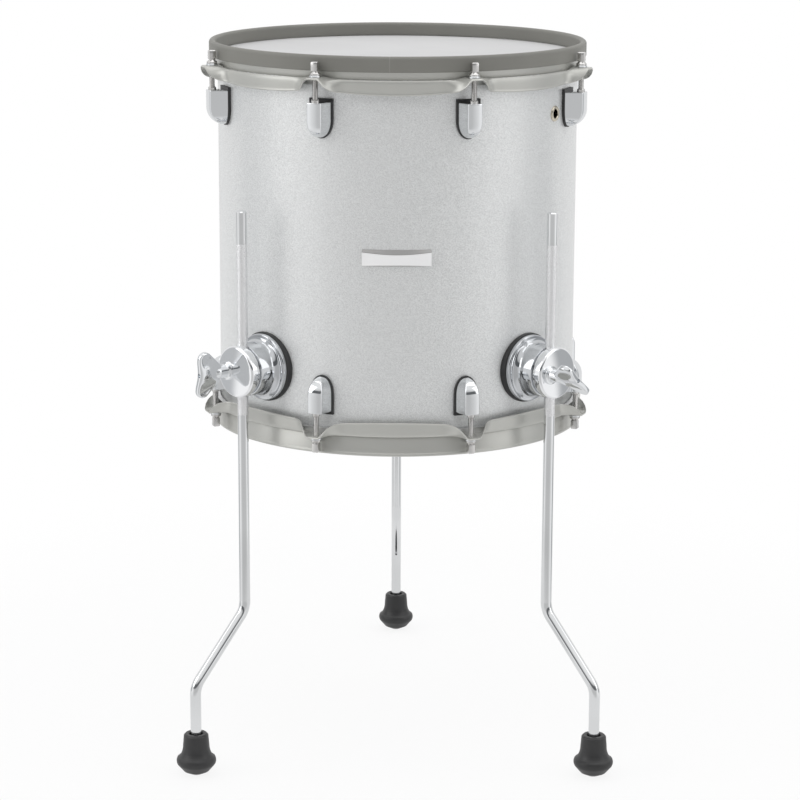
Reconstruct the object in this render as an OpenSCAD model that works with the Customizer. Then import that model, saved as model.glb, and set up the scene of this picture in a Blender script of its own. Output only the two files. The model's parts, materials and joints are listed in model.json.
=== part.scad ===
// Floor tom on three adjustable legs, standing on the floor at its playing height.
// The hoops are the shaped pieces: their flange turns from a skirt into a flat ear at each tension rod.
// Azimuth 0 is the front, towards -Y, and azimuth 90 is towards +X.

/* [Shell] */
// Outer radius of the wrapped shell
shell_r = 178.3; // [172:0.1:186]
// Thickness of the plies with their wrap
shell_wall = 6.5; // [5:0.5:9]
// Length of the shell between its bearing edges
shell_h = 355.6; // [300:0.1:400]
// Height of the lower bearing edge above the floor
shell_z = 328.5; // [310:0.5:350]
// Width of the flat land on each bearing edge
edge_land = 1.2; // [0.8:0.1:2.5]

/* [Heads] */
// Thickness of the drumhead film with its coating
film_t = 0.6; // [0.4:0.1:1]
// Depth of the head's collar below the bearing edge
collar_h = 11; // [9:0.5:12]
// Wall of the metal flesh hoop, inside to outside
flesh_w = 4.6; // [4:0.1:4.8]
// Height of the flesh hoop
flesh_h = 6; // [5:0.5:7]
// Gap between the shell and the film of the collar
collar_gap = 0.4; // [0.3:0.1:0.6]

/* [Hoops] */
// Thickness of the hoop metal
hoop_t = 2; // [1.6:0.1:2.4]
// Gap between the flesh hoop and the hoop's skirt
hoop_gap = 0.3; // [0.3:0.1:0.8]
// Distance from the bearing edge back to the ears
ear_back = 5.7; // [5:0.1:6.5]
// Height of the hoop's wall above its ears
rim_h = 16.8; // [14:0.1:20]
// Height of the thicker lip along the rim
lip_h = 3; // [2:0.1:5]
// How far the lip stands out from the wall
lip_out = 1; // [0.5:0.1:1.4]
// Height of the seam groove above the ears
seam_h = 1.2; // [0.8:0.1:2]
// Depth of the seam groove
seam_d = 0.8; // [0.4:0.1:1]
// Depth of the skirt between the ears
skirt_h = 13.8; // [11:0.1:16]
// How far the skirt's edge flares outwards
skirt_flare = 0.7; // [0:0.1:1.5]
// Reach of an ear beyond the rod's axis
ear_out = 8.5; // [7.5:0.1:10]
// Half width of the flat part of an ear
ear_flat = 6.5; // [6:0.1:8]
// Half width of an ear with its flanks
ear_half = 27; // [20:0.5:30]
// Length of the edge that is turned down round an ear
ear_hook = 3; // [1:0.1:4]

/* [Rim cover] */
// Height of the soft rim cover
cover_h = 14.8; // [12:0.1:16]
// How far the cover stands above the hoop
cover_top = 3; // [2:0.1:4]
// Wall of the cover outside the hoop
cover_out = 2.7; // [2:0.1:3]
// Wall of the cover inside the hoop
cover_in = 1.6; // [1:0.1:2]
// Gap between the cover and the batter head
cover_gap = 0.4; // [0.3:0.1:1]

/* [Tension rods] */
// Clearance between the rim cover and a rod's washer
washer_gap = 0.6; // [0.4:0.1:1.5]
// Turn of the lugs against the legs, in degrees
lug_turn = -0.8; // [-1.5:0.1:1.5]
// Radius of a rod's shank
rod_r = 2.75; // [2.5:0.05:3]
// Width across the flats of the square head
head_w = 6.35; // [6:0.05:6.8]
// Height of the square head
head_h = 7; // [6:0.5:9]
// Height of the cone under the square head
cone_h = 3.8; // [2:0.1:5]
// Radius of the rod's own flange
flange_r = 5.1; // [4.8:0.1:5.3]
// Thickness of the rod's own flange
flange_t = 1.8; // [1:0.1:2.5]
// Radius of the loose washer
washer_r = 5.7; // [5.4:0.1:6]
// Thickness of the loose washer
washer_t = 1.7; // [1:0.1:2.5]
// Length of rod that goes into the lug
rod_grip = 13; // [8:0.5:15]

/* [Lugs] */
// Distance from the bearing edge to the lug's flat end
lug_back = 29.6; // [28:0.1:40]
// Length of a lug
lug_h = 33.8; // [31:0.1:40]
// Width of a lug at its foot
lug_w = 17.8; // [16:0.1:20]
// Width of a lug's outer face
lug_face_w = 13.4; // [12:0.1:15]
// Radius of the lug's two outer edges
lug_edge_r = 2; // [1:0.1:3]
// Distance from the rod's axis to the lug's outer face
lug_cover = 5; // [4.9:0.1:6]
// Length of the lug's straight part
lug_straight = 17; // [16:0.1:19]
// Thickness of the rubber gasket
gasket_t = 2.5; // [1.5:0.1:3]
// How far the gasket shows round the lug
gasket_edge = 3; // [1:0.1:3.5]
// How far the gasket shows past the lug's tip
gasket_tip = 1; // [0.5:0.1:2]
// Outer radius of a swivel nut
nut_r = 3.8; // [3.6:0.05:4]
// Length of a swivel nut inside the lug
nut_in = 14; // [13:0.5:15]
// How far the nut stands out of the lug
nut_out = 3; // [2:0.1:4]
// Distance from the lug's flat end to its first screw
screw_start = 8; // [7:0.5:10]
// Distance between a lug's two screws
screw_pitch = 14; // [12:0.5:15]
// Radius of a lug screw
screw_r = 2; // [1.5:0.1:2.5]
// Length of screw in the lug
screw_grip = 5; // [3:0.5:6]
// Radius of a lug screw's head
screw_head_r = 3.8; // [3.3:0.1:4.3]
// Height of a lug screw's head
screw_head_h = 2.6; // [2:0.1:3.5]
// Radius of the washer under a lug screw
screw_washer_r = 5.5; // [5:0.1:6]
// Thickness of the washer under a lug screw
screw_washer_t = 1; // [0.8:0.1:1.5]

/* [Badge] */
// Width of the badge, measured straight across
badge_w = 65.5; // [50:0.5:80]
// Height of the badge at its ends
badge_h = 15.7; // [12:0.1:20]
// Hollow of each long edge
badge_hollow = 0.9; // [0:0.1:1.5]
// Thickness of the badge
badge_t = 1.4; // [1:0.1:2]
// Height of the bevel along the badge's upper edge
badge_bevel = 3; // [1:0.1:4]
// Height of the badge's middle above the lower bearing edge
badge_z = 180; // [150:0.5:210]
// Distance from the middle to each badge pin
badge_pin_x = 26; // [20:0.5:30]
// Radius of a badge pin
badge_pin_r = 1.2; // [0.8:0.1:1.5]

/* [Air vent] */
// Azimuth of the air vent
vent_az = 58; // [50:0.5:59]
// Distance from the upper bearing edge to the vent
vent_back = 48.7; // [46:0.1:60]
// Radius of the vent's outer flange
vent_flange_r = 7.5; // [6.5:0.1:8]
// Outer radius of the vent's tube
vent_tube_r = 6; // [5.5:0.1:6.2]
// Radius of the vent's hole
vent_hole_r = 4.5; // [4:0.1:5.2]
// How far the vent stands out of the shell
vent_proud = 1.4; // [1:0.1:2]
// Radius of the nut inside the shell
vent_nut_r = 8.5; // [7.5:0.1:10]
// Thickness of the nut inside the shell
vent_nut_t = 3; // [2:0.1:4]

/* [Brackets] */
// Height of the bracket's axis above the lower bearing edge
bracket_z = 64.5; // [60:0.5:80]
// Thickness of the bracket's gasket at its middle
ring_t = 3; // [2:0.1:4]
// Radius of the bracket's gasket
ring_r = 35.5; // [34:0.1:37]
// Radius of the chrome flange
foot_flange_r = 32.5; // [31:0.1:33.5]
// Thickness of the chrome flange
foot_flange_t = 4.2; // [3:0.1:5]
// Step between the flange and its cone
flange_step = 1.6; // [1:0.1:2.5]
// Length of the cone behind the barrel
barrel_cone = 7.5; // [6:0.1:9]
// Length of the barrel's straight part
barrel_len = 13.4; // [12:0.1:18]
// Radius of the barrel and of the jaw
barrel_r = 25; // [24:0.1:26]
// Thickness of the jaw
jaw_t = 9.2; // [8.5:0.1:10]
// Gap between the barrel and the jaw
jaw_gap = 3.6; // [3:0.1:4]
// Bevel along the barrel's and the jaw's edges
jaw_bevel = 0.8; // [0.4:0.1:1.2]
// Distance from the leg's axis to the wing bolt's axis
bolt_side = 10.8; // [10.5:0.1:11.5]
// Radius of the wing bolt's stud
stud_r = 3.5; // [3:0.1:3.8]
// Length of stud beyond the gap, in the barrel
stud_grip = 12; // [8:0.5:13]
// Distance from the leg's axis to the jaw's guide pin
guide_side = 14; // [12:0.5:17]
// Radius of the guide pin
guide_r = 2.5; // [2:0.1:3]
// Length of guide pin in the barrel
guide_grip = 8; // [6:0.5:10]
// Play beyond the ends of the stud and the guide pin
wing_play = 1; // [0.5:0.1:1.5]
// Half distance between the bracket's screws, both ways
plate_pitch = 13; // [11:0.5:14]
// Radius of a bracket screw
plate_screw_r = 3; // [2.5:0.1:3]
// Length of a bracket screw in the flange
plate_screw_grip = 6; // [4:0.5:6.5]
// Radius of a bracket screw's head
plate_head_r = 5; // [4.5:0.1:5.5]
// Height of a bracket screw's head
plate_head_h = 4; // [3:0.1:5]
// Half width of the plate inside the shell
plate_half = 22; // [20:0.5:26]
// Thickness of the inner plate at its middle
plate_t = 4.5; // [3.5:0.1:6]

/* [Wing bolts] */
// Radius of the wing bolt's shoulder on the jaw
shoulder_r = 9; // [8:0.1:10]
// Thickness of the shoulder
shoulder_t = 1.6; // [1:0.1:2.5]
// Radius of the wing bolt's hub
hub_r = 6; // [5.5:0.1:7]
// Length of the hub
hub_h = 17; // [15:0.5:20]
// Height at which the wings leave the hub
wing_root = 6; // [5:0.5:8]
// Distance from the bolt's axis to a wing's tip
wing_span = 22.7; // [20:0.1:25]
// Height of the wing's tip above the jaw
wing_rise = 37; // [33:0.5:42]
// Radius of the wing's round tip
wing_tip_r = 7.5; // [6:0.1:8.5]
// Thickness of a wing at its root
wing_t = 7.4; // [6.5:0.1:8.5]
// Thickness of a wing at its tip
wing_tip_t = 5.4; // [5:0.1:6.4]
// Half width of the wings where they leave the hub
wing_neck = 7.5; // [6.5:0.1:9]
// Height at which the wings start to spread
wing_spread = 9; // [7:0.5:12]
// Depth of the hollow between the wings' tips
wing_notch = 2; // [1:0.1:5]
// Radius of the small hole in the bolt's outer end
wing_hole_r = 1.9; // [1:0.1:2.5]
// Depth of the small hole in the bolt's outer end
wing_hole_h = 5; // [2:0.5:8]
// Turn of the left wing bolt from level, in degrees
wing_turn_left = 84; // [0:1:90]
// Turn of the right wing bolt from level, in degrees
wing_turn_right = -42; // [-90:1:0]

/* [Legs] */
// Radius of the rod that a leg is bent from
leg_r = 5.25; // [5:0.05:5.5]
// How far a foot stands outside its leg's upper part
foot_reach = 65; // [45:1:80]
// Height of a leg's upper end above the floor
leg_top = 548; // [500:1:580]
// Height at which a leg turns outwards
bend_high = 154; // [140:1:170]
// Height at which a leg turns down again
bend_low = 89; // [75:1:100]
// Radius of a leg's bends, on its axis
bend_r = 20; // [14:1:22]
// How much a bend swells beyond the straight rod
bend_swell = 0.04; // [0.03:0.01:0.06]
// Length by which a straight stretch runs on into a bend
bend_lap = 0.5; // [0.3:0.1:0.8]
// Bevel on a leg's upper end
leg_bevel = 1; // [0.5:0.1:2]

/* [Feet] */
// Height of a rubber foot
foot_h = 41.5; // [38:0.5:46]
// Radius of a foot where it is widest
foot_r = 19.3; // [17:0.1:21]
// Height at which a foot is widest
foot_wide_z = 14.5; // [12:0.5:16]
// Radius of a foot's neck
foot_neck_r = 12.2; // [11:0.1:13]
// Radius of a foot's upper rim
foot_rim_r = 11.6; // [10.5:0.1:12]
// Radius of the flat sole
sole_r = 5; // [4:0.1:8]
// Width of the sole's sloping rim
sole_flare = 7.5; // [6:0.1:8]
// Height of the sole's sloping rim
sole_rise = 3.6; // [2.5:0.1:4.5]
// Radius of the foot's round shoulder
foot_round = 5.5; // [5:0.1:6]
// Height from the shoulder to the foot's waist
foot_waist = 13; // [10:0.5:15]
// Radius of the recess in a foot's top
recess_r = 6.8; // [6.3:0.1:7.5]
// Depth of the recess in a foot's top
recess_h = 3; // [1:0.1:5]
// Rubber under the leg's lower end
foot_floor = 10; // [8:0.5:14]

/* [Fits] */
// Clearance round a pin or rod that turns or slides in its seat
fit_gap = 0.05; // [0.03:0.01:0.09]
// Clearance round a screw or stud that only passes through
pass_gap = 0.35; // [0.3:0.05:0.6]
// Clearance between faces that lie side by side
face_gap = 0.05; // [0.03:0.01:0.1]

/* [Hidden] */
$fn = 64;

// Tension rods on each hoop, as many as the nodes above name
rod_count = 8;
rod_step = 360 / rod_count;
// Azimuths of the right, left and rear leg
leg_az = [45, -45, 180];
// How far a cutting body runs past the faces that it opens
over = 5;
// Bevels along small turned edges
edge_bevel = 0.6;
fine_bevel = 0.4;
// Width of the bead at the foot of a head's collar
bead = 1;
// Step between the hoop's skirt and its rim
rim_step = 0.2;

// Places that follow from the sizes above
shell_top = shell_z + shell_h;
shell_in = shell_r - shell_wall;
bracket_h = shell_z + bracket_z;
film_r = shell_r + collar_gap + film_t;
flesh_out = film_r + flesh_w;
skirt_in = flesh_out + hoop_gap;
rim_out = skirt_in - rim_step;
rim_in = rim_out - hoop_t;
rod_ring = rim_out + cover_out + washer_gap + washer_r;
rod_hole_r = rod_r + pass_gap;
lug_face = rod_ring + lug_cover;
lug_foot = shell_r + gasket_t;
ring_face = shell_r + ring_t;
flange_end = ring_face + foot_flange_t;
cone_end = flange_end + flange_step / 2 + barrel_cone;
barrel_end = cone_end + barrel_len;
leg_ring = barrel_end + jaw_gap / 2;
jaw_in = leg_ring + jaw_gap / 2;
jaw_face = jaw_in + jaw_t;
foot_ring = leg_ring + foot_reach;
axis_y = -(foot_ring + foot_r - (foot_ring * cos(leg_az[0]) + foot_r)) / 2;
plate_face = shell_in - plate_t;
leg_lean = atan2(foot_reach, bend_high - bend_low);
bend_run = bend_r * tan(leg_lean / 2);
big = 1000;

// An arc of points about a centre, from one angle to another
function arc(cx, cy, rx, ry, a0, a1, n) =
    [for (i = [0:n]) [cx + rx * cos(a0 + (a1 - a0) * i / n), cy + ry * sin(a0 + (a1 - a0) * i / n)]];

// The distance by which a circle of radius r falls away at an offset w
function sag(r, w) = r - sqrt(r * r - w * w);

// Places its children at an azimuth, with local +X pointing outwards and +Y towards higher azimuth
module at_azimuth(az, z = 0) {
    translate([0, axis_y, z])
        rotate([0, 0, az - 90])
            children();
}

// Turns a profile of [radius, x] points about the local X axis
module turned(points) {
    rotate([0, 90, 0])
        rotate_extrude()
            polygon(points);
}

// A cylinder along the local X axis, from x0 to x1
module bar(x0, x1, r) {
    translate([x0, 0, 0])
        rotate([0, 90, 0])
            cylinder(h = x1 - x0, r = r);
}

// Extrudes an outline of [y, z] points along the local X axis
module outline_x(points, x0, x1) {
    translate([x0, 0, 0])
        rotate([90, 0, 90])
            linear_extrude(x1 - x0)
                polygon(points);
}

// Extrudes an outline of [x, z] points to both sides of the local XZ plane
module outline_y(points, half) {
    translate([0, half, 0])
        rotate([90, 0, 0])
            linear_extrude(2 * half)
                polygon(points);
}

// The space of the shell with everything inside it
module shell_space(r) {
    translate([0, 0, -big / 2])
        cylinder(h = big, r = r, $fn = 180);
}

// Turns a piece drawn at the top over to the bottom end of the shell
module at_bottom() {
    translate([0, 0, shell_z + shell_top])
        mirror([0, 0, 1])
            children();
}

// Shell with bearing edges, and the holes for what is fixed to it
module shell() {
    edge_r = shell_r - edge_land;
    bevel = shell_wall - edge_land;
    color([0.82, 0.83, 0.84])
        difference() {
            translate([0, axis_y, 0])
                rotate_extrude($fn = 180)
                    polygon([
                        [shell_in, shell_z + bevel], [edge_r, shell_z], [shell_r, shell_z],
                        [shell_r, shell_top], [edge_r, shell_top], [shell_in, shell_top - bevel]
                    ]);
            each_lug()
                lug_screw_places()
                    bar(shell_in - over, shell_r + over, screw_r + pass_gap);
            at_bottom()
                each_lug()
                    lug_screw_places()
                        bar(shell_in - over, shell_r + over, screw_r + pass_gap);
            at_azimuth(vent_az, shell_top - vent_back)
                bar(shell_in - over, shell_r + over, vent_tube_r + pass_gap);
            for (az = leg_az)
                at_azimuth(az, bracket_h)
                    plate_screw_places()
                        bar(shell_in - over, shell_r + over, plate_screw_r + pass_gap);
            badge_pin_places()
                bar(shell_in - over, shell_r + over, badge_pin_r + pass_gap);
        }
}

// Drumhead: film over the bearing edge, with its collar and the bead that the flesh hoop grips
module head() {
    foot = shell_top - collar_h;
    inner = film_r - film_t;
    translate([0, axis_y, 0])
        rotate_extrude($fn = 180)
            polygon([
                [0, shell_top], [inner, shell_top], [inner, foot], [film_r + bead, foot],
                [film_r + bead, foot + film_t], [film_r, foot + film_t], [film_r, shell_top + film_t],
                [0, shell_top + film_t]
            ]);
}

// Flesh hoop: the metal ring round the head's collar, with a groove for its bead
module flesh_hoop() {
    top = shell_top - ear_back - hoop_t;
    low = top - flesh_h;
    foot = shell_top - collar_h;
    inner = film_r + face_gap;
    groove = film_r + bead + face_gap;
    translate([0, axis_y, 0])
        rotate_extrude($fn = 180)
            polygon([
                [inner, low], [flesh_out, low], [flesh_out, top], [inner, top],
                [inner, foot + film_t + face_gap], [groove, foot + film_t + face_gap],
                [groove, foot - face_gap], [inner, foot - face_gap]
            ]);
}

// How much of an ear there is at an azimuth offset from a rod: 1 on its flat, 0 on the skirt
function ear_mix(a) =
    let (away = (abs(a) * PI / 180 * rod_ring - ear_flat) / (ear_half - ear_flat))
    pow(1 - min(1, max(0, away)), 2);

// Azimuth offsets of the flange's sections on one side of a rod
ear_flat_a = ear_flat / rod_ring * 180 / PI;
ear_half_a = ear_half / rod_ring * 180 / PI;
flank_steps = 7;
side_steps = concat(
    [for (i = [0:flank_steps]) ear_flat_a + (ear_half_a - ear_flat_a) * i / flank_steps],
    [ear_half_a + (rod_step / 2 - ear_half_a) / 3, ear_half_a + (rod_step / 2 - ear_half_a) * 2 / 3]
);
ear_steps = concat(
    [-rod_step / 2],
    [for (i = [len(side_steps) - 1:-1:0]) -side_steps[i]],
    [0],
    side_steps
);

// The flange's section as [radius, z] points: flat with its edge turned down at mix 1, hanging at mix 0
function flange_section(mix) =
    let (
        half = hoop_t / 2,
        root = skirt_in + half,
        turn = 90 * (1 - mix),
        knee = [root + 0.4 * hoop_t, -half],
        hang = skirt_h - half - ear_hook,
        bend = [
            root + skirt_flare + (rod_ring + ear_out - half - root - skirt_flare) * cos(turn),
            -half - hang * sin(turn)
        ],
        mid = knee + (bend - knee) * 0.5 + [half * sin(turn), 0],
        tip = bend - [0, ear_hook],
        lean = [turn * 0.3, turn * 0.8, (turn + 90) / 2, 90],
        line = [knee, mid, bend, tip]
    )
    concat(
        [[skirt_in - half, -hoop_t + 0.1], [skirt_in - half, 0]],
        [for (i = [0:3]) line[i] + half * [sin(lean[i]), cos(lean[i])]],
        [for (i = [3:-1:0]) line[i] - half * [sin(lean[i]), cos(lean[i])]]
    );

// Flange of a hoop: one ring of sections that rises into an ear at each rod
module flange() {
    sections = [
        for (k = [0:rod_count - 1])
            for (a = ear_steps)
                [k * rod_step + rod_step / 2 + lug_turn + a, flange_section(ear_mix(a))]
    ];
    n = len(sections);
    m = len(sections[0][1]);
    points = [
        for (s = sections)
            for (p = s[1])
                [p[0] * sin(s[0]), axis_y - p[0] * cos(s[0]), p[1]]
    ];
    faces = [
        for (i = [0:n - 1])
            for (j = [0:m - 1])
                for (f = [
                    [i * m + j, ((i + 1) % n) * m + j, ((i + 1) % n) * m + (j + 1) % m],
                    [i * m + j, ((i + 1) % n) * m + (j + 1) % m, i * m + (j + 1) % m]
                ])
                    f
    ];
    polyhedron(points, faces);
}

// Hoop: rim wall with its lip, the step that presses on the flesh hoop, and the flange with ears
module hoop() {
    translate([0, 0, shell_top - ear_back])
        difference() {
            union() {
                translate([0, axis_y, 0])
                    rotate_extrude($fn = 180)
                        polygon([
                            [rim_in, -hoop_t], [skirt_in + rim_step, -hoop_t], [skirt_in + rim_step, 0],
                            [rim_out - seam_d, 0], [rim_out - seam_d, seam_h], [rim_out, seam_h + seam_d],
                            [rim_out, rim_h - lip_h], [rim_out + lip_out, rim_h - lip_h + lip_out],
                            [rim_out + lip_out, rim_h - edge_bevel], [rim_out + lip_out - edge_bevel, rim_h],
                            [rim_in + edge_bevel, rim_h], [rim_in, rim_h - edge_bevel]
                        ]);
                flange();
            }
            for (k = [0:rod_count - 1])
                at_azimuth(k * rod_step + rod_step / 2 + lug_turn)
                    translate([rod_ring, 0, -skirt_h])
                        rotate([0, 0, rod_step / 3])
                            cylinder(h = 2 * skirt_h, r = rod_hole_r);
        }
}

// Rim cover: a soft band pressed over the top hoop's rim
module rim_cover() {
    hoop_top = shell_top - ear_back + rim_h;
    top = hoop_top + cover_top;
    low_out = top - cover_h;
    low_in = shell_top + film_t + cover_gap;
    outer = rim_out + cover_out;
    inner = rim_in - cover_in;
    mid = (outer + inner) / 2;
    half = (outer - inner) / 2;
    lip = hoop_top - lip_h;
    color([0.38, 0.37, 0.35])
        translate([0, axis_y, 0])
            rotate_extrude($fn = 180)
                polygon(concat(
                    [[inner, low_in], [rim_in - face_gap, low_in]],
                    [[rim_in - face_gap, hoop_top + face_gap], [rim_out + lip_out + face_gap, hoop_top + face_gap]],
                    [[rim_out + lip_out + face_gap, lip + lip_out], [rim_out + face_gap, lip]],
                    [[rim_out + face_gap, low_out], [outer - edge_bevel, low_out], [outer, low_out + edge_bevel]],
                    arc(mid, top - half, half, half, 0, 180, 16)
                ));
}

// Repeats its children at each lug's azimuth, at the height of the lug's flat end
module each_lug() {
    for (k = [0:rod_count - 1])
        at_azimuth(k * rod_step + rod_step / 2 + lug_turn, shell_top - lug_back)
            children();
}

// The two screw places of a lug, counted down from its flat end
module lug_screw_places() {
    for (i = [0, 1])
        translate([0, 0, -screw_start - i * screw_pitch])
            children();
}

// The lug's outline seen from outside, widened by an edge, with a round tip
function lug_outline(edge, tip) =
    concat(
        [[lug_w / 2 + edge, edge], [-lug_w / 2 - edge, edge]],
        arc(0, -lug_straight, lug_w / 2 + edge, lug_h - lug_straight + tip, 180, 360, 16)
    );

// Lug: half moon with a flat end, a curved back and softened outer edges
module lug() {
    side = concat(
        [[lug_foot, 0], [lug_foot, -lug_h]],
        arc(lug_foot, -lug_straight, lug_face - lug_foot, lug_h - lug_straight, -90, 0, 12),
        [[lug_face, 0]]
    );
    corner = lug_face_w / 2 - lug_edge_r / 3;
    plan = concat(
        [[lug_foot - 1, -lug_w / 2], [lug_face - lug_edge_r, -corner - lug_edge_r / 3]],
        arc(lug_face - lug_edge_r, -corner + lug_edge_r * 2 / 3, lug_edge_r, lug_edge_r, -90, 0, 4),
        arc(lug_face - lug_edge_r, corner - lug_edge_r * 2 / 3, lug_edge_r, lug_edge_r, 0, 90, 4),
        [[lug_face - lug_edge_r, corner + lug_edge_r / 3], [lug_foot - 1, lug_w / 2]]
    );
    difference() {
        intersection() {
            outline_y(side, lug_w);
            outline_x(lug_outline(0, 0), lug_foot - over, lug_face + over);
            translate([0, 0, -lug_h - over])
                linear_extrude(lug_h + 2 * over)
                    polygon(plan);
        }
        translate([rod_ring, 0, -nut_in - face_gap])
            cylinder(h = nut_in + over, r = nut_r + face_gap);
        lug_screw_places()
            bar(lug_foot - over, lug_foot + screw_grip + face_gap, screw_r + face_gap);
    }
}

// Lug gasket: a rubber sheet cut to the lug, lying on the round of the shell
module lug_gasket() {
    difference() {
        outline_x(lug_outline(gasket_edge, gasket_tip), shell_r - over, lug_foot);
        shell_space(shell_r);
        lug_screw_places()
            bar(shell_r - over, lug_foot + over, screw_r + pass_gap);
    }
}

// Swivel nut: the tube in the lug that the rod screws into
module swivel_nut() {
    translate([rod_ring, 0, 0])
        rotate_extrude()
            polygon([
                [rod_r + fit_gap, -nut_in], [nut_r, -nut_in], [nut_r, nut_out - edge_bevel],
                [nut_r - edge_bevel, nut_out], [rod_r + fit_gap, nut_out]
            ]);
}

// Lug screw from inside the shell, with a domed head
module lug_screw() {
    under = shell_in - sag(shell_in, screw_washer_r) - screw_washer_t;
    turned([
        [0, under - screw_head_h], [screw_head_r - screw_head_h / 2, under - screw_head_h],
        [screw_head_r, under - screw_head_h / 2], [screw_head_r, under], [screw_r, under],
        [screw_r, lug_foot + screw_grip], [0, lug_foot + screw_grip]
    ]);
}

// Washer between a lug screw's head and the shell
module lug_washer() {
    face = shell_in - sag(shell_in, screw_washer_r);
    turned([
        [screw_r + face_gap, face - screw_washer_t], [screw_washer_r, face - screw_washer_t],
        [screw_washer_r, face], [screw_r + face_gap, face]
    ]);
}

// Puts one of its children on each lug screw, at both ends of the shell
module each_lug_screw() {
    each_lug()
        lug_screw_places()
            children();
    at_bottom()
        each_lug()
            lug_screw_places()
                children();
}

// Washer between an ear and a rod's flange
module rod_washer() {
    translate([rod_ring, 0, lug_back - ear_back])
        rotate_extrude()
            polygon([
                [rod_r + pass_gap, 0], [washer_r, 0], [washer_r, washer_t - fine_bevel],
                [washer_r - fine_bevel, washer_t], [rod_r + pass_gap, washer_t]
            ]);
}

// Tension rod: shank, flange, cone and square head
module tension_rod(k) {
    seat = lug_back - ear_back + washer_t + face_gap;
    neck = head_w / 2;
    at_azimuth((k - 1) * rod_step + rod_step / 2 + lug_turn, shell_top - lug_back)
        translate([rod_ring, 0, 0]) {
            rotate_extrude()
                polygon([
                    [0, -rod_grip], [rod_r - edge_bevel, -rod_grip], [rod_r, -rod_grip + edge_bevel], [rod_r, seat],
                    [flange_r, seat], [flange_r, seat + flange_t], [neck, seat + flange_t + cone_h],
                    [0, seat + flange_t + cone_h]
                ]);
            translate([-head_w / 2, -head_w / 2, seat + flange_t + cone_h / 2])
                cube([head_w, head_w, head_h + cone_h / 2]);
        }
}

// Places of the two badge pins
module badge_pin_places() {
    for (s = [-1, 1])
        at_azimuth(s * asin(badge_pin_x / shell_r), shell_z + badge_z)
            children();
}

// Badge: a bare plate curved to the shell, with a bevel along its upper edge and hollow long edges
module badge() {
    outer = shell_r + badge_t;
    half = badge_h / 2;
    points = concat(
        [for (i = [-8:8]) [i * badge_w / 16, -half + badge_hollow * cos(90 * i / 8)]],
        [for (i = [8:-1:-8]) [i * badge_w / 16, half - badge_hollow * cos(90 * i / 8)]]
    );
    color([0.75, 0.76, 0.78])
        intersection() {
            translate([0, axis_y, shell_z + badge_z])
                rotate_extrude($fn = 180)
                    polygon([
                        [shell_r, -half], [outer - fine_bevel, -half], [outer, -half + fine_bevel],
                        [outer, half - badge_bevel], [outer - badge_t / 2, half], [shell_r, half]
                    ]);
            at_azimuth(0, shell_z + badge_z)
                outline_x(points, shell_r / 2, outer + over);
        }
}

// Badge pins: short rivets from the badge through the shell
module badge_pins() {
    head = shell_in - sag(shell_in, 2 * badge_pin_r);
    color([0.6, 0.6, 0.62])
        badge_pin_places()
            turned([
                [0, head - badge_pin_r], [2 * badge_pin_r, head - badge_pin_r], [2 * badge_pin_r, head],
                [badge_pin_r, head], [badge_pin_r, shell_r - face_gap], [0, shell_r - face_gap]
            ]);
}

// Air vent: a tube through the shell with a rounded flange outside
module air_vent() {
    inner_end = shell_in - vent_nut_t - vent_proud;
    flange_foot = shell_r - sag(shell_r, vent_flange_r) - fine_bevel;
    lip = shell_r + vent_proud;
    color([0.72, 0.68, 0.58])
        at_azimuth(vent_az, shell_top - vent_back)
            difference() {
                turned([
                    [vent_hole_r, inner_end], [vent_tube_r, inner_end],
                    [vent_tube_r, flange_foot], [vent_flange_r, flange_foot],
                    [vent_flange_r, lip - edge_bevel], [vent_flange_r - edge_bevel, lip],
                    [vent_hole_r + edge_bevel, lip], [vent_hole_r, lip - edge_bevel]
                ]);
                difference() {
                    shell_space(shell_r);
                    bar(inner_end - over, shell_r + over, vent_tube_r + face_gap);
                }
            }
}

// Nut that holds the air vent from inside the shell
module vent_nut() {
    face = shell_in - sag(shell_in, vent_nut_r);
    color([0.72, 0.68, 0.58])
        at_azimuth(vent_az, shell_top - vent_back)
            difference() {
                bar(face - vent_nut_t, face, vent_nut_r);
                bar(face - vent_nut_t - over, face + over, vent_tube_r + face_gap);
            }
}

// The four screw places of a bracket
module plate_screw_places() {
    for (y = [-1, 1])
        for (z = [-1, 1])
            translate([0, y * plate_pitch, z * plate_pitch])
                children();
}

// Bracket gasket: flat outside, and hollowed to the round of the shell
module bracket_gasket() {
    difference() {
        bar(shell_r - sag(shell_r, ring_r) - over, ring_face, ring_r);
        shell_space(shell_r);
        plate_screw_places()
            bar(shell_r - 2 * over, ring_face + over, plate_screw_r + pass_gap);
    }
}

// Groove for the leg, cut into the barrel and the jaw
module leg_groove() {
    translate([leg_ring, 0, -2 * barrel_r])
        cylinder(h = 4 * barrel_r, r = leg_r + fit_gap);
}

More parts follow.
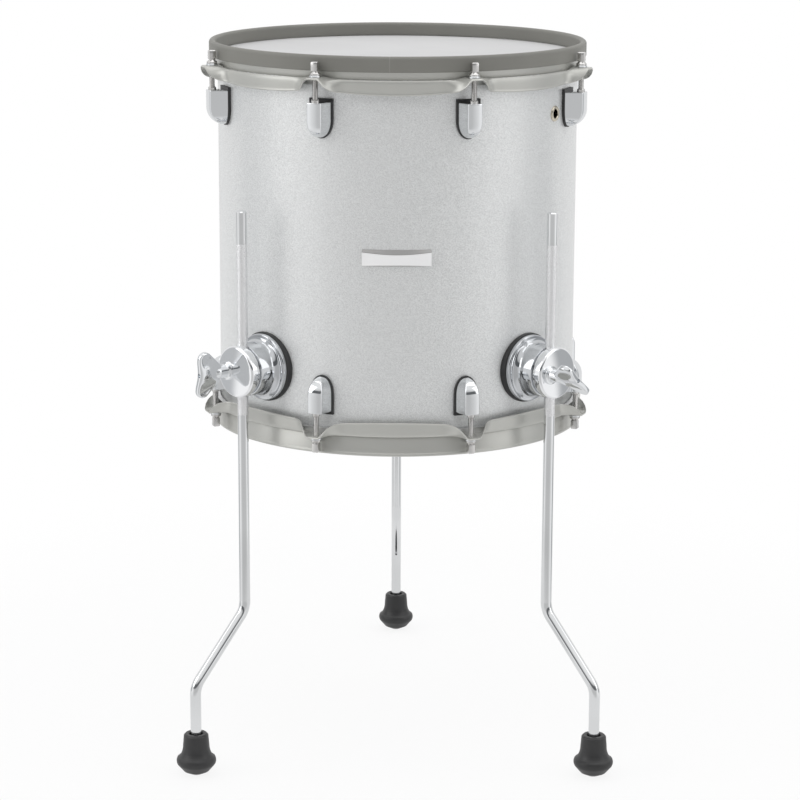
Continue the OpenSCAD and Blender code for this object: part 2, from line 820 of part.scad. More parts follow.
// Bracket base: flange, step, cone and barrel in one casting
module bracket_base(k) {
    cone_x = cone_end - barrel_cone;
    cone_r = foot_flange_r - flange_step;
    cone = [for (i = [0:6]) [
        barrel_r + (cone_r - barrel_r) * (1 - sin(15 * i)),
        cone_x + barrel_cone * (1 - cos(15 * i))
    ]];
    color([0.78, 0.79, 0.8])
        at_azimuth(leg_az[k], bracket_h)
            difference() {
                turned(concat(
                    [[0, ring_face], [foot_flange_r - fine_bevel, ring_face], [foot_flange_r, ring_face + fine_bevel]],
                    [[foot_flange_r, flange_end - jaw_bevel], [foot_flange_r - jaw_bevel, flange_end]],
                    [[cone_r, flange_end]],
                    cone,
                    [[barrel_r, barrel_end - jaw_bevel], [barrel_r - jaw_bevel, barrel_end]],
                    [[0, barrel_end]]
                ));
                leg_groove();
                translate([0, -bolt_side, 0])
                    bar(barrel_end - stud_grip - wing_play, barrel_end + over, stud_r + fit_gap);
                translate([0, guide_side, 0])
                    bar(barrel_end - guide_grip - wing_play, barrel_end + over, guide_r + fit_gap);
                plate_screw_places()
                    bar(ring_face - over, ring_face + plate_screw_grip + face_gap, plate_screw_r + face_gap);
            }
}

// Clamp jaw: the outer disc that the wing bolt draws against the leg, with its guide pin
module clamp_jaw(k) {
    color([0.8, 0.81, 0.82])
        at_azimuth(leg_az[k], bracket_h) {
            difference() {
                turned([
                    [0, jaw_in], [barrel_r - jaw_bevel, jaw_in], [barrel_r, jaw_in + jaw_bevel],
                    [barrel_r, jaw_face - jaw_bevel], [barrel_r - jaw_bevel, jaw_face], [0, jaw_face]
                ]);
                leg_groove();
                translate([0, -bolt_side, 0])
                    bar(jaw_in - over, jaw_face + over, stud_r + pass_gap);
            }
            translate([0, guide_side, 0])
                bar(barrel_end - guide_grip, jaw_in + jaw_bevel, guide_r);
        }
}

// Outline of both wings as [y, x] points above the jaw's face
function wing_outline() =
    let (
        tip_y = wing_span - wing_tip_r,
        tip_x = wing_rise - wing_tip_r,
        right = concat(
            [[hub_r * 0.8, wing_root], [wing_neck, wing_spread]],
            arc(tip_y, tip_x, wing_tip_r, wing_tip_r, -45, 90, 10),
            [[hub_r * 0.7, wing_rise - wing_notch]]
        )
    )
    concat(right, [for (i = [len(right) - 1:-1:0]) [-right[i][0], right[i][1]]]);

// Wing bolt: stud, shoulder and hub, with wings that spread and thin towards their round tips
module wing_bolt(k) {
    turn = [wing_turn_right, wing_turn_left, 0][k];
    stud_end = -jaw_t - jaw_gap - stud_grip;
    color([0.8, 0.8, 0.82])
        at_azimuth(leg_az[k], bracket_h)
            translate([jaw_face + face_gap, -bolt_side, 0])
                rotate([turn, 0, 0])
                    difference() {
                        union() {
                            turned([
                                [0, stud_end], [stud_r - edge_bevel, stud_end], [stud_r, stud_end + edge_bevel],
                                [stud_r, 0], [shoulder_r, 0], [shoulder_r, shoulder_t - fine_bevel],
                                [shoulder_r - fine_bevel, shoulder_t], [hub_r + 2 * edge_bevel, shoulder_t],
                                [hub_r, shoulder_t + 2 * edge_bevel], [hub_r, hub_h - hub_r / 2],
                                [hub_r / 2, hub_h], [0, hub_h]
                            ]);
                            intersection() {
                                rotate([180, 0, 90])
                                    translate([0, 0, -wing_t / 2])
                                        linear_extrude(wing_t)
                                            polygon(wing_outline());
                                wing_taper();
                            }
                        }
                        bar(wing_rise - wing_notch - wing_hole_h, wing_rise + over, wing_hole_r);
                    }
}

// Plan of both wings seen along the bolt: thick at the hub and thin at the tips
module wing_taper() {
    outline_x([
        [-wing_span, -wing_tip_t / 2], [0, -wing_t / 2], [wing_span, -wing_tip_t / 2],
        [wing_span, wing_tip_t / 2], [0, wing_t / 2], [-wing_span, wing_tip_t / 2]
    ], 0, wing_rise + over);
}

// A bend of the leg's rod, a hair thicker than the straight stretches that end inside it
module leg_bend(x, z, start) {
    translate([x, 0, z])
        rotate([90, 0, 0])
            rotate([0, 0, start])
                rotate_extrude(angle = leg_lean)
                    translate([bend_r, 0])
                        circle(r = leg_r + bend_swell);
}

// Leg: one round rod with two bends, so that the foot stands outside the drum
module leg(k) {
    high = bend_high + bend_run;
    low = bend_low - bend_run;
    slope = (bend_high - bend_low) / cos(leg_lean) - 2 * bend_run + 2 * bend_lap;
    color([0.8, 0.81, 0.82])
        at_azimuth(leg_az[k]) {
            translate([leg_ring, 0, high - bend_lap])
                rotate_extrude()
                    polygon([
                        [0, 0], [leg_r, 0], [leg_r, leg_top - leg_bevel - high + bend_lap],
                        [leg_r - leg_bevel, leg_top - high + bend_lap], [0, leg_top - high + bend_lap]
                    ]);
            leg_bend(leg_ring + bend_r, high, 180);
            translate([(leg_ring + foot_ring) / 2, 0, (bend_high + bend_low) / 2])
                rotate([0, 180 - leg_lean, 0])
                    translate([0, 0, -slope / 2])
                        cylinder(h = slope, r = leg_r);
            leg_bend(foot_ring - bend_r, low, 0);
            translate([foot_ring, 0, foot_floor])
                cylinder(h = low + bend_lap - foot_floor, r = leg_r);
        }
}

// Rubber foot: a bell with a recessed top, a flared skirt and a small flat sole
module leg_foot(k) {
    shoulder = foot_wide_z + foot_round / 2;
    hollow = foot_r - foot_neck_r - edge_bevel;
    bell = concat(
        [[0, 0], [sole_r, 0], [sole_r + sole_flare, sole_rise]],
        arc(foot_r - foot_round, foot_wide_z - edge_bevel, foot_round, foot_round + edge_bevel, -48, 30, 6),
        [for (i = [1:7]) [
            foot_neck_r + edge_bevel + hollow * (1 - sin(90 * i / 7)),
            shoulder + foot_waist * (1 - cos(90 * i / 7))
        ]],
        [[foot_rim_r + fine_bevel, foot_h - 3 * edge_bevel], [foot_rim_r, foot_h - 2 * edge_bevel]],
        [[foot_rim_r - 2 * edge_bevel, foot_h], [recess_r + edge_bevel, foot_h]],
        [[recess_r, foot_h - edge_bevel], [recess_r, foot_h - recess_h]],
        [[leg_r + face_gap, foot_h - recess_h], [leg_r + face_gap, foot_floor], [0, foot_floor]]
    );
    color([0.12, 0.12, 0.12])
        at_azimuth(leg_az[k])
            translate([foot_ring, 0, 0])
                rotate_extrude()
                    polygon(bell);
}

// Plate inside the shell: fitted to its round outside, and flat where the screw heads bear
module bracket_plate() {
    difference() {
        intersection() {
            translate([plate_face, -plate_half, -plate_half])
                cube([plate_t + over, 2 * plate_half, 2 * plate_half]);
            shell_space(shell_in);
        }
        plate_screw_places()
            bar(plate_face - over, shell_in + over, plate_screw_r + pass_gap);
    }
}

// Bracket screw from inside the shell into the flange
module bracket_screw() {
    end = ring_face + plate_screw_grip;
    turned([
        [0, plate_face - plate_head_h], [plate_head_r - edge_bevel, plate_face - plate_head_h],
        [plate_head_r, plate_face - plate_head_h + edge_bevel], [plate_head_r, plate_face],
        [plate_screw_r, plate_face], [plate_screw_r, end], [0, end]
    ]);
}

// Tension rods of the bottom hoop are the same rods turned over
module tension_rod_bottom(k) {
    at_bottom()
        tension_rod(k);
}

module top_set() {
    each_lug()
        children();
}

module bottom_set() {
    at_bottom()
        each_lug()
            children();
}

module batter_head() { color([0.85, 0.85, 0.85]) head(); }
module resonant_head() { color([0.85, 0.85, 0.85]) at_bottom() head(); }
module batter_flesh_hoop() { color([0.6, 0.6, 0.6]) flesh_hoop(); }
module resonant_flesh_hoop() { color([0.6, 0.6, 0.6]) at_bottom() flesh_hoop(); }
module top_hoop() { color([0.6, 0.59, 0.56]) hoop(); }
module bottom_hoop() { color([0.6, 0.59, 0.56]) at_bottom() hoop(); }
module top_lugs() { color([0.8, 0.81, 0.83]) top_set() lug(); }
module bottom_lugs() { color([0.8, 0.81, 0.83]) bottom_set() lug(); }
module top_lug_gaskets() { color([0.1, 0.1, 0.1]) top_set() lug_gasket(); }
module bottom_lug_gaskets() { color([0.1, 0.1, 0.1]) bottom_set() lug_gasket(); }
module top_swivel_nuts() { color([0.75, 0.75, 0.76]) top_set() swivel_nut(); }
module bottom_swivel_nuts() { color([0.75, 0.75, 0.76]) bottom_set() swivel_nut(); }
module lug_screws() { color([0.6, 0.6, 0.62]) each_lug_screw() lug_screw(); }
module lug_washers() { color([0.65, 0.65, 0.67]) each_lug_screw() lug_washer(); }
module top_rod_washers() { color([0.75, 0.75, 0.76]) top_set() rod_washer(); }
module bottom_rod_washers() { color([0.75, 0.75, 0.76]) bottom_set() rod_washer(); }
module rod_top(k) { color([0.78, 0.78, 0.79]) tension_rod(k); }
module rod_bottom(k) { color([0.78, 0.78, 0.79]) tension_rod_bottom(k); }

// Repeats its children at each bracket
module each_bracket() {
    for (az = leg_az)
        at_azimuth(az, bracket_h)
            children();
}

module bracket_gaskets() { color([0.1, 0.1, 0.1]) each_bracket() bracket_gasket(); }
module bracket_plates() { color([0.5, 0.5, 0.52]) each_bracket() bracket_plate(); }
module bracket_screws() {
    color([0.6, 0.6, 0.62])
        each_bracket()
            plate_screw_places()
                bracket_screw();
}

shell();
batter_head();
batter_flesh_hoop();
resonant_head();
resonant_flesh_hoop();
top_hoop();
bottom_hoop();
rim_cover();
top_lugs();
bottom_lugs();
top_lug_gaskets();
bottom_lug_gaskets();
top_swivel_nuts();
bottom_swivel_nuts();
lug_screws();
lug_washers();
top_rod_washers();
bottom_rod_washers();
rod_top(1);  // tension_rod_top_1
rod_top(2);  // tension_rod_top_2
rod_top(3);  // tension_rod_top_3
rod_top(4);  // tension_rod_top_4
rod_top(5);  // tension_rod_top_5
rod_top(6);  // tension_rod_top_6
rod_top(7);  // tension_rod_top_7
rod_top(8);  // tension_rod_top_8
rod_bottom(1);  // tension_rod_bottom_1
rod_bottom(2);  // tension_rod_bottom_2
rod_bottom(3);  // tension_rod_bottom_3
rod_bottom(4);  // tension_rod_bottom_4
rod_bottom(5);  // tension_rod_bottom_5
rod_bottom(6);  // tension_rod_bottom_6
rod_bottom(7);  // tension_rod_bottom_7
rod_bottom(8);  // tension_rod_bottom_8
badge();
badge_pins();
air_vent();
vent_nut();
bracket_gaskets();
bracket_base(0);  // bracket_base_right
bracket_base(1);  // bracket_base_left
bracket_base(2);  // bracket_base_rear
clamp_jaw(0);  // clamp_jaw_right
clamp_jaw(1);  // clamp_jaw_left
clamp_jaw(2);  // clamp_jaw_rear
wing_bolt(0);  // wing_bolt_right
wing_bolt(1);  // wing_bolt_left
wing_bolt(2);  // wing_bolt_rear
leg(0);  // leg_right
leg(1);  // leg_left
leg(2);  // leg_rear
leg_foot(0);  // leg_foot_right
leg_foot(1);  // leg_foot_left
leg_foot(2);  // leg_foot_rear
bracket_plates();
bracket_screws();
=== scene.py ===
"""Floor tom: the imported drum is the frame, and this script gives it its finishes and finer pieces."""

import json
import logging
import math
from dataclasses import dataclass, field
from enum import Enum

import bpy
from mathutils import Matrix, Vector


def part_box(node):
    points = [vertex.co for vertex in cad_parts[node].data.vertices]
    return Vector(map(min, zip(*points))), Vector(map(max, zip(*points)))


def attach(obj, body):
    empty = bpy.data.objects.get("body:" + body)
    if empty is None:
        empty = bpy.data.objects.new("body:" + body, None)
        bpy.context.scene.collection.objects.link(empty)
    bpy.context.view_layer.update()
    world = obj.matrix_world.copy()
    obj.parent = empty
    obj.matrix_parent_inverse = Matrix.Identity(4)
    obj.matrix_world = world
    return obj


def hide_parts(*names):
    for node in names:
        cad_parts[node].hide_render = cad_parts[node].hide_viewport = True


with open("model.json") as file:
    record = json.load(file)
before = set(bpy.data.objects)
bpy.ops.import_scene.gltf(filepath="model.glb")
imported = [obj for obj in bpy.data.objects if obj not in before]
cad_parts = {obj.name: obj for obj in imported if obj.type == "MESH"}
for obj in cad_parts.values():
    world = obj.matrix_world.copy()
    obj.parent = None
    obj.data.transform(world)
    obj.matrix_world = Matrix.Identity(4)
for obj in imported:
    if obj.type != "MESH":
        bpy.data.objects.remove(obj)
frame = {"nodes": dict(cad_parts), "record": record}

MM = 0.001
log = logging.getLogger("floor_tom")


class Slot(str, Enum):
    """The record's material slots."""

    WRAP = "wrap"
    HEAD = "head"
    RING = "ring"
    HOOP = "hoop"
    COVER = "cover"
    CHROME = "chrome"
    STEEL = "steel"
    RUBBER = "rubber"
    NICKEL = "nickel"


class End(Enum):
    """The two ends of the shell, with the way that their rods' heads point."""

    TOP = 1
    BOTTOM = -1


class Corner(Enum):
    """The three brackets: name, azimuth and the turn of their wing bolts, in degrees."""

    RIGHT = ("right", 45.0, -42.0)
    LEFT = ("left", -45.0, 84.0)
    REAR = ("rear", 180.0, 0.0)

    @property
    def label(self) -> str:
        """The name that the corner's nodes end in."""
        return self.value[0]

    @property
    def azimuth(self) -> float:
        """Where the corner is round the drum, from the front towards +X."""
        return self.value[1]

    @property
    def wing_turn(self) -> float:
        """How far the wings stand from level."""
        return self.value[2]


def packed_axis_y() -> float:
    """Where the drum's axis stands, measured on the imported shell, in millimetres."""
    low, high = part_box("shell")
    return float(low[1] + high[1]) / 2 / MM


@dataclass(frozen=True)
class Drum:
    """Sizes of the drum that several pieces share, in millimetres."""

    shell_r: float = 178.3
    shell_wall: float = 6.5
    shell_z: float = 328.5
    shell_h: float = 355.6
    rod_ring: float = 193.0
    rod_count: int = 8
    lug_turn: float = -0.8
    leg_ring: float = 209.0
    bracket_z: float = 64.5
    axis_y: float = field(default_factory=packed_axis_y)

    @property
    def shell_top(self) -> float:
        """Height of the upper bearing edge."""
        return self.shell_z + self.shell_h

    def rod_azimuth(self, index: int) -> float:
        """Azimuth of a tension rod.

        Args:
            index: number of the rod, from 0 at the front on the right.

        Returns:
            The azimuth in degrees.
        """
        return (index + 0.5) * 360 / self.rod_count + self.lug_turn

    def at(self, azimuth: float, z: float = 0.0) -> Matrix:
        """Frame of a place round the drum, with +X outwards and +Y towards higher azimuth.

        Args:
            azimuth: angle from the front towards +X, in degrees.
            z: height above the floor, in millimetres.

        Returns:
            The frame, in metres.
        """
        return Matrix.Translation((0, self.axis_y * MM, z * MM)) @ Matrix.Rotation(math.radians(azimuth - 90), 4, "Z")


DRUM = Drum()


class Sheet:
    """Adds and joins the nodes of one shader tree."""

    def __init__(self, tree: bpy.types.NodeTree) -> None:
        """Keeps the tree.

        Args:
            tree: tree of a material, a world or a node group.
        """
        self.tree = tree

    def add(self, kind: str, values: dict | None = None, **settings) -> bpy.types.Node:
        """Adds one node.

        Args:
            kind: the node's type name.
            values: values of its input sockets by name or number.
            **settings: its own properties.

        Returns:
            The node.
        """
        node = self.tree.nodes.new(kind)
        for key, value in settings.items():
            setattr(node, key, value)
        for key, value in (values or {}).items():
            node.inputs[key].default_value = value
        return node

    def join(self, source: bpy.types.NodeSocket, target: bpy.types.NodeSocket) -> None:
        """Links an output to an input."""
        self.tree.links.new(source, target)

    def maths(self, operation: str, first, second=None) -> bpy.types.NodeSocket:
        """Adds a Math node.

        Args:
            operation: its operation.
            first: a socket or a number.
            second: a socket or a number, where the operation takes two.

        Returns:
            The result's socket.
        """
        node = self.add("ShaderNodeMath", operation=operation)
        for i, value in enumerate((first, second)):
            if isinstance(value, (int, float)):
                node.inputs[i].default_value = value
            elif value is not None:
                self.join(value, node.inputs[i])
        return node.outputs[0]

    def step(self, value, low: float, high: float) -> bpy.types.NodeSocket:
        """Adds a smooth step from 0 at low to 1 at high."""
        node = self.add(
            "ShaderNodeMapRange", {"From Min": low, "From Max": high}, interpolation_type="SMOOTHSTEP", clamp=True
        )
        self.join(value, node.inputs["Value"])
        return node.outputs["Result"]

    def blend(self, factor, first: tuple, second) -> bpy.types.NodeSocket:
        """Mixes two colours.

        Args:
            factor: socket that goes from 0 to 1.
            first: colour at 0, as numbers or a socket.
            second: colour at 1, as numbers or a socket.

        Returns:
            The mixed colour's socket.
        """
        node = self.add("ShaderNodeMix", data_type="RGBA")
        self.join(factor, node.inputs[0])
        for value, target in ((first, node.inputs[6]), (second, node.inputs[7])):
            if isinstance(value, tuple):
                target.default_value = (*value, 1.0)
            else:
                self.join(value, target)
        return node.outputs[2]

    def place(self) -> bpy.types.NodeSocket:
        """The surface's own coordinates, in metres."""
        return self.add("ShaderNodeTexCoord").outputs["Object"]


class Group:
    """Base of the shader effects that several finishes share."""

    name = ""
    inputs: tuple[tuple[str, float], ...] = ()
    outputs: tuple[tuple[str, str], ...] = ()

    def tree(self) -> bpy.types.NodeTree:
        """The effect's node group, made once."""
        if self.name in bpy.data.node_groups:
            return bpy.data.node_groups[self.name]
        tree = bpy.data.node_groups.new(self.name, "ShaderNodeTree")
        for label, value in self.inputs:
            socket = tree.interface.new_socket(name=label, in_out="INPUT", socket_type="NodeSocketFloat")
            socket.default_value = value
        for label, kind in self.outputs:
            tree.interface.new_socket(name=label, in_out="OUTPUT", socket_type=kind)
        sheet = Sheet(tree)
        self.draw(sheet, sheet.add("NodeGroupInput"), sheet.add("NodeGroupOutput"))
        return tree

    def draw(self, sheet: Sheet, given: bpy.types.Node, result: bpy.types.Node) -> None:
        """Draws the group's inside; each effect has its own."""
        raise NotImplementedError

    def use(self, sheet: Sheet, **values: float) -> bpy.types.Node:
        """Places the effect in a material.

        Args:
            sheet: the material's tree.
            **values: values of its inputs, with spaces in their names written as underscores.

        Returns:
            The group node.
        """
        node = sheet.add("ShaderNodeGroup")
        node.node_tree = self.tree()
        for key, value in values.items():
            node.inputs[key.replace("_", " ")].default_value = value
        return node


class SurfaceGrain(Group):
    """Fine unevenness of a moulded, painted or polished face, with slow cloudy change over it."""

    name = "Surface grain"
    inputs = (("Grains per metre", 900.0), ("Depth", 0.00002), ("Cloud size", 12.0))
    outputs = (("Cloud", "NodeSocketFloat"), ("Grain", "NodeSocketFloat"), ("Normal", "NodeSocketVector"))

    def draw(self, sheet: Sheet, given: bpy.types.Node, result: bpy.types.Node) -> None:
        """Draws two noises and a bump."""
        place = sheet.place()
        cloud = sheet.add("ShaderNodeTexNoise", {"Detail": 2.0})
        sheet.join(place, cloud.inputs["Vector"])
        sheet.join(given.outputs["Cloud size"], cloud.inputs["Scale"])
        grain = sheet.add("ShaderNodeTexNoise", {"Detail": 3.0, "Roughness": 0.6})
        sheet.join(place, grain.inputs["Vector"])
        sheet.join(given.outputs["Grains per metre"], grain.inputs["Scale"])
        bump = sheet.add("ShaderNodeBump", {"Strength": 1.0})
        sheet.join(grain.outputs["Fac"], bump.inputs["Height"])
        sheet.join(given.outputs["Depth"], bump.inputs["Distance"])
        sheet.join(cloud.outputs["Fac"], result.inputs["Cloud"])
        sheet.join(grain.outputs["Fac"], result.inputs["Grain"])
        sheet.join(bump.outputs["Normal"], result.inputs["Normal"])


class SparkleFlakes(Group):
    """Small metal flakes under a clear film, each with its own brightness and tilt."""

    name = "Sparkle flakes"
    inputs = (("Flakes per metre", 1300.0), ("Tilt", 0.25))
    outputs = (("Flake", "NodeSocketFloat"), ("Normal", "NodeSocketVector"))

    def draw(self, sheet: Sheet, given: bpy.types.Node, result: bpy.types.Node) -> None:
        """Draws a cell texture that tilts the surface normal."""
        cells = sheet.add("ShaderNodeTexVoronoi", feature="F1")
        sheet.join(sheet.place(), cells.inputs["Vector"])
        sheet.join(given.outputs["Flakes per metre"], cells.inputs["Scale"])
        parts = sheet.add("ShaderNodeSeparateColor")
        sheet.join(cells.outputs["Color"], parts.inputs["Color"])
        centred = sheet.add("ShaderNodeVectorMath", {1: (0.5, 0.5, 0.5)}, operation="SUBTRACT")
        sheet.join(cells.outputs["Color"], centred.inputs[0])
        tilted = sheet.add("ShaderNodeVectorMath", operation="SCALE")
        sheet.join(centred.outputs[0], tilted.inputs[0])
        sheet.join(given.outputs["Tilt"], tilted.inputs["Scale"])
        summed = sheet.add("ShaderNodeVectorMath", operation="ADD")
        sheet.join(sheet.add("ShaderNodeNewGeometry").outputs["Normal"], summed.inputs[0])
        sheet.join(tilted.outputs[0], summed.inputs[1])
        unit = sheet.add("ShaderNodeVectorMath", operation="NORMALIZE")
        sheet.join(summed.outputs[0], unit.inputs[0])
        sheet.join(parts.outputs["Red"], result.inputs["Flake"])
        sheet.join(unit.outputs[0], result.inputs["Normal"])


class Knurl(Group):
    """Diamond knurling rolled into a stretch of a round rod, round a vertical axis."""

    name = "Knurl"
    inputs = (
        ("Axis X", 0.0),
        ("Axis Y", 0.0),
        ("Low", 0.35),
        ("High", 0.5166),
        ("Ridges round", 30.0),
        ("Ridges per metre", 900.0),
        ("Depth", 0.00009),
    )
    outputs = (("Mask", "NodeSocketFloat"), ("Ridge", "NodeSocketFloat"), ("Normal", "NodeSocketVector"))

    def draw(self, sheet: Sheet, given: bpy.types.Node, result: bpy.types.Node) -> None:
        """Draws two crossing sets of helical ridges and the mask of their stretch."""
        parts = sheet.add("ShaderNodeSeparateXYZ")
        sheet.join(sheet.place(), parts.inputs[0])
        x = sheet.maths("SUBTRACT", parts.outputs[0], given.outputs["Axis X"])
        y = sheet.maths("SUBTRACT", parts.outputs[1], given.outputs["Axis Y"])
        z = parts.outputs[2]
        turn = sheet.maths("MULTIPLY", sheet.maths("ARCTAN2", y, x), given.outputs["Ridges round"])
        rise = sheet.maths("MULTIPLY", z, sheet.maths("MULTIPLY", given.outputs["Ridges per metre"], math.tau))
        one = sheet.maths("SINE", sheet.maths("ADD", turn, rise))
        two = sheet.maths("SINE", sheet.maths("SUBTRACT", turn, rise))
        ridge = sheet.maths("MULTIPLY", sheet.maths("ADD", one, two), 0.5)
        above = sheet.maths("GREATER_THAN", z, given.outputs["Low"])
        below = sheet.maths("LESS_THAN", z, given.outputs["High"])
        mask = sheet.maths("MULTIPLY", above, below)
        height = sheet.maths("MULTIPLY", ridge, mask)
        bump = sheet.add("ShaderNodeBump", {"Strength": 1.0})
        sheet.join(height, bump.inputs["Height"])
        sheet.join(given.outputs["Depth"], bump.inputs["Distance"])
        sheet.join(mask, result.inputs["Mask"])
        sheet.join(ridge, result.inputs["Ridge"])
        sheet.join(bump.outputs["Normal"], result.inputs["Normal"])


@dataclass(frozen=True)
class Finish:
    """A finish with fine grain and a slow change of shade and gloss over the surface."""

    name: str
    color: tuple[float, float, float]
    roughness: float
    metallic: float = 0.0
    coat: float = 0.0
    coat_roughness: float = 0.05
    grains: float = 900.0
    depth: float = 0.00001
    cloud: float = 12.0
    shade: float = 0.05
    gloss_change: float = 0.05

    def build(self) -> bpy.types.Material:
        """Makes the material.

        Returns:
            The material, ready for a mesh.
        """
        material = bpy.data.materials.new(self.name)
        material.use_nodes = True
        material.node_tree.nodes.clear()
        sheet = Sheet(material.node_tree)
        shader = sheet.add(
            "ShaderNodeBsdfPrincipled",
            {
                "Metallic": self.metallic,
                "Roughness": self.roughness,
                "Coat Weight": self.coat,
                "Coat Roughness": self.coat_roughness,
            },
        )
        sheet.join(shader.outputs[0], sheet.add("ShaderNodeOutputMaterial").inputs["Surface"])
        self.paint(sheet, shader)
        return material

    def paint(self, sheet: Sheet, shader: bpy.types.Node) -> None:
        """Feeds the shader's colour, roughness and normal.

        Args:
            sheet: the material's tree.
            shader: its Principled node.
        """
        grain = SurfaceGrain().use(sheet, Grains_per_metre=self.grains, Depth=self.depth, Cloud_size=self.cloud)
        sheet.join(self.shaded(sheet, grain.outputs["Cloud"]), shader.inputs["Base Color"])
        sheet.join(self.glossed(sheet, grain.outputs["Cloud"]), shader.inputs["Roughness"])
        sheet.join(grain.outputs["Normal"], shader.inputs["Normal"])

    def shaded(self, sheet: Sheet, cloud: bpy.types.NodeSocket) -> bpy.types.NodeSocket:
        """The colour, a little darker or lighter with the cloud."""
        dark = tuple(c * (1 - self.shade) for c in self.color)
        light = tuple(min(1.0, c * (1 + self.shade)) for c in self.color)
        return sheet.blend(sheet.step(cloud, 0.3, 0.7), dark, light)

    def glossed(self, sheet: Sheet, cloud: bpy.types.NodeSocket) -> bpy.types.NodeSocket:
        """The roughness, a little more or less with the cloud."""
        change = sheet.maths("MULTIPLY", sheet.maths("SUBTRACT", cloud, 0.5), self.gloss_change)
        return sheet.maths("ADD", change, self.roughness)


@dataclass(frozen=True)
class WrapFinish(Finish):
    """Sparkle film on the shell's outside, and bare plies on its inside and edges."""

    flakes: float = 1900.0
    tilt: float = 0.16
    contrast: float = 0.17
    wood: tuple[float, float, float] = (0.42, 0.27, 0.15)
    grain_wood: tuple[float, float, float] = (0.56, 0.39, 0.23)

    def paint(self, sheet: Sheet, shader: bpy.types.Node) -> None:
        """Feeds flakes outside and wood inside."""
        parts = sheet.add("ShaderNodeSeparateXYZ")
        sheet.join(sheet.place(), parts.inputs[0])
        y = sheet.maths("SUBTRACT", parts.outputs[1], DRUM.axis_y * MM)
        radius = sheet.maths(
            "SQRT", sheet.maths("ADD", sheet.maths("MULTIPLY", parts.outputs[0], parts.outputs[0]),
                                sheet.maths("MULTIPLY", y, y)))
        outside = sheet.maths("GREATER_THAN", radius, (DRUM.shell_r - 0.6) * MM)
        flakes = SparkleFlakes().use(sheet, Flakes_per_metre=self.flakes, Tilt=self.tilt)
        dark = tuple(c * (1 - self.contrast) for c in self.color)
        light = tuple(min(1.0, c * (1 + self.contrast)) for c in self.color)
        film = sheet.blend(flakes.outputs["Flake"], dark, light)
        rings = sheet.add("ShaderNodeTexWave", {"Scale": 1.4, "Distortion": 7.0, "Detail": 3.0}, bands_direction="Z")
        sheet.join(sheet.place(), rings.inputs["Vector"])
        ply = sheet.blend(rings.outputs["Fac"], self.wood, self.grain_wood)
        sheet.join(sheet.blend(outside, ply, film), shader.inputs["Base Color"])
        sheet.join(sheet.maths("MULTIPLY", outside, self.metallic), shader.inputs["Metallic"])
        sheet.join(sheet.maths("SUBTRACT", 0.6, sheet.maths("MULTIPLY", outside, 0.6 - self.roughness)),
                   shader.inputs["Roughness"])
        sheet.join(sheet.maths("MULTIPLY", outside, self.coat), shader.inputs["Coat Weight"])
        sheet.join(flakes.outputs["Normal"], shader.inputs["Normal"])


@dataclass(frozen=True)
class CoverFinish(Finish):
    """Soft rubber with one joint across the band at the front."""

    joint_azimuth: float = -2.3
    joint_width: float = 0.5

    def paint(self, sheet: Sheet, shader: bpy.types.Node) -> None:
        """Feeds the plain finish, with a lighter line where the band's ends meet."""
        grain = SurfaceGrain().use(sheet, Grains_per_metre=self.grains, Depth=self.depth, Cloud_size=self.cloud)
        parts = sheet.add("ShaderNodeSeparateXYZ")
        sheet.join(sheet.place(), parts.inputs[0])
        across = math.sin(math.radians(self.joint_azimuth)) * DRUM.shell_r * MM
        away = sheet.maths("ABSOLUTE", sheet.maths("SUBTRACT", parts.outputs[0], across))
        near = sheet.maths("LESS_THAN", parts.outputs[1], (DRUM.axis_y) * MM)
        line = sheet.maths("MULTIPLY", near, sheet.maths("LESS_THAN", away, self.joint_width / 2 * MM))
        plain = self.shaded(sheet, grain.outputs["Cloud"])
        lighter = tuple(c * 1.35 for c in self.color)
        sheet.join(sheet.blend(line, plain, lighter), shader.inputs["Base Color"])
        sheet.join(self.glossed(sheet, grain.outputs["Cloud"]), shader.inputs["Roughness"])
        sheet.join(grain.outputs["Normal"], shader.inputs["Normal"])


@dataclass(frozen=True)
class KnurlFinish(Finish):
    """Chrome on a leg, knurled along the stretch that the clamp holds, with painted shade in the knurl's hollows and a
    painted highlight on its ridges.
    """

    axis_x: float = 0.0
    axis_y: float = 0.0
    low: float = 350.0
    high: float = 516.6
    # hollow is painted shade in the knurl's grooves, ridge is a painted highlight on its crests
    hollow: tuple[float, float, float] = (0.88, 0.88, 0.89)
    ridge: tuple[float, float, float] = (0.97, 0.97, 0.98)

    def paint(self, sheet: Sheet, shader: bpy.types.Node) -> None:
        """Feeds a duller, ridged stretch between low and high, painted darker in the hollows as shade and lighter on
        the ridges as highlight.
        """
        knurl = Knurl().use(
            sheet, Axis_X=self.axis_x, Axis_Y=self.axis_y, Low=self.low * MM, High=self.high * MM)
        grain = SurfaceGrain().use(sheet, Grains_per_metre=self.grains, Depth=self.depth, Cloud_size=self.cloud)
        # painted shade in the hollows and painted highlight on the ridges
        knurl_shade_and_highlight = sheet.blend(sheet.step(knurl.outputs["Ridge"], -0.7, 0.5), self.hollow, self.ridge)
        plain = self.shaded(sheet, grain.outputs["Cloud"])
        sheet.join(sheet.blend(knurl.outputs["Mask"], plain, knurl_shade_and_highlight), shader.inputs["Base Color"])
        sheet.join(sheet.maths("ADD", sheet.maths("MULTIPLY", knurl.outputs["Mask"], 0.16), self.roughness),
                   shader.inputs["Roughness"])
        sheet.join(knurl.outputs["Normal"], shader.inputs["Normal"])


def leg_finish(corner: Corner) -> KnurlFinish:
    """The knurled finish of one leg, centred on the leg's own axis."""
    axis = DRUM.at(corner.azimuth) @ Vector((DRUM.leg_ring * MM, 0, 0))
    return KnurlFinish(
        f"Knurled chrome {corner.label}", (0.80, 0.81, 0.82), 0.1, metallic=1.0, grains=300.0, depth=0.000004,
        axis_x=axis.x, axis_y=axis.y)


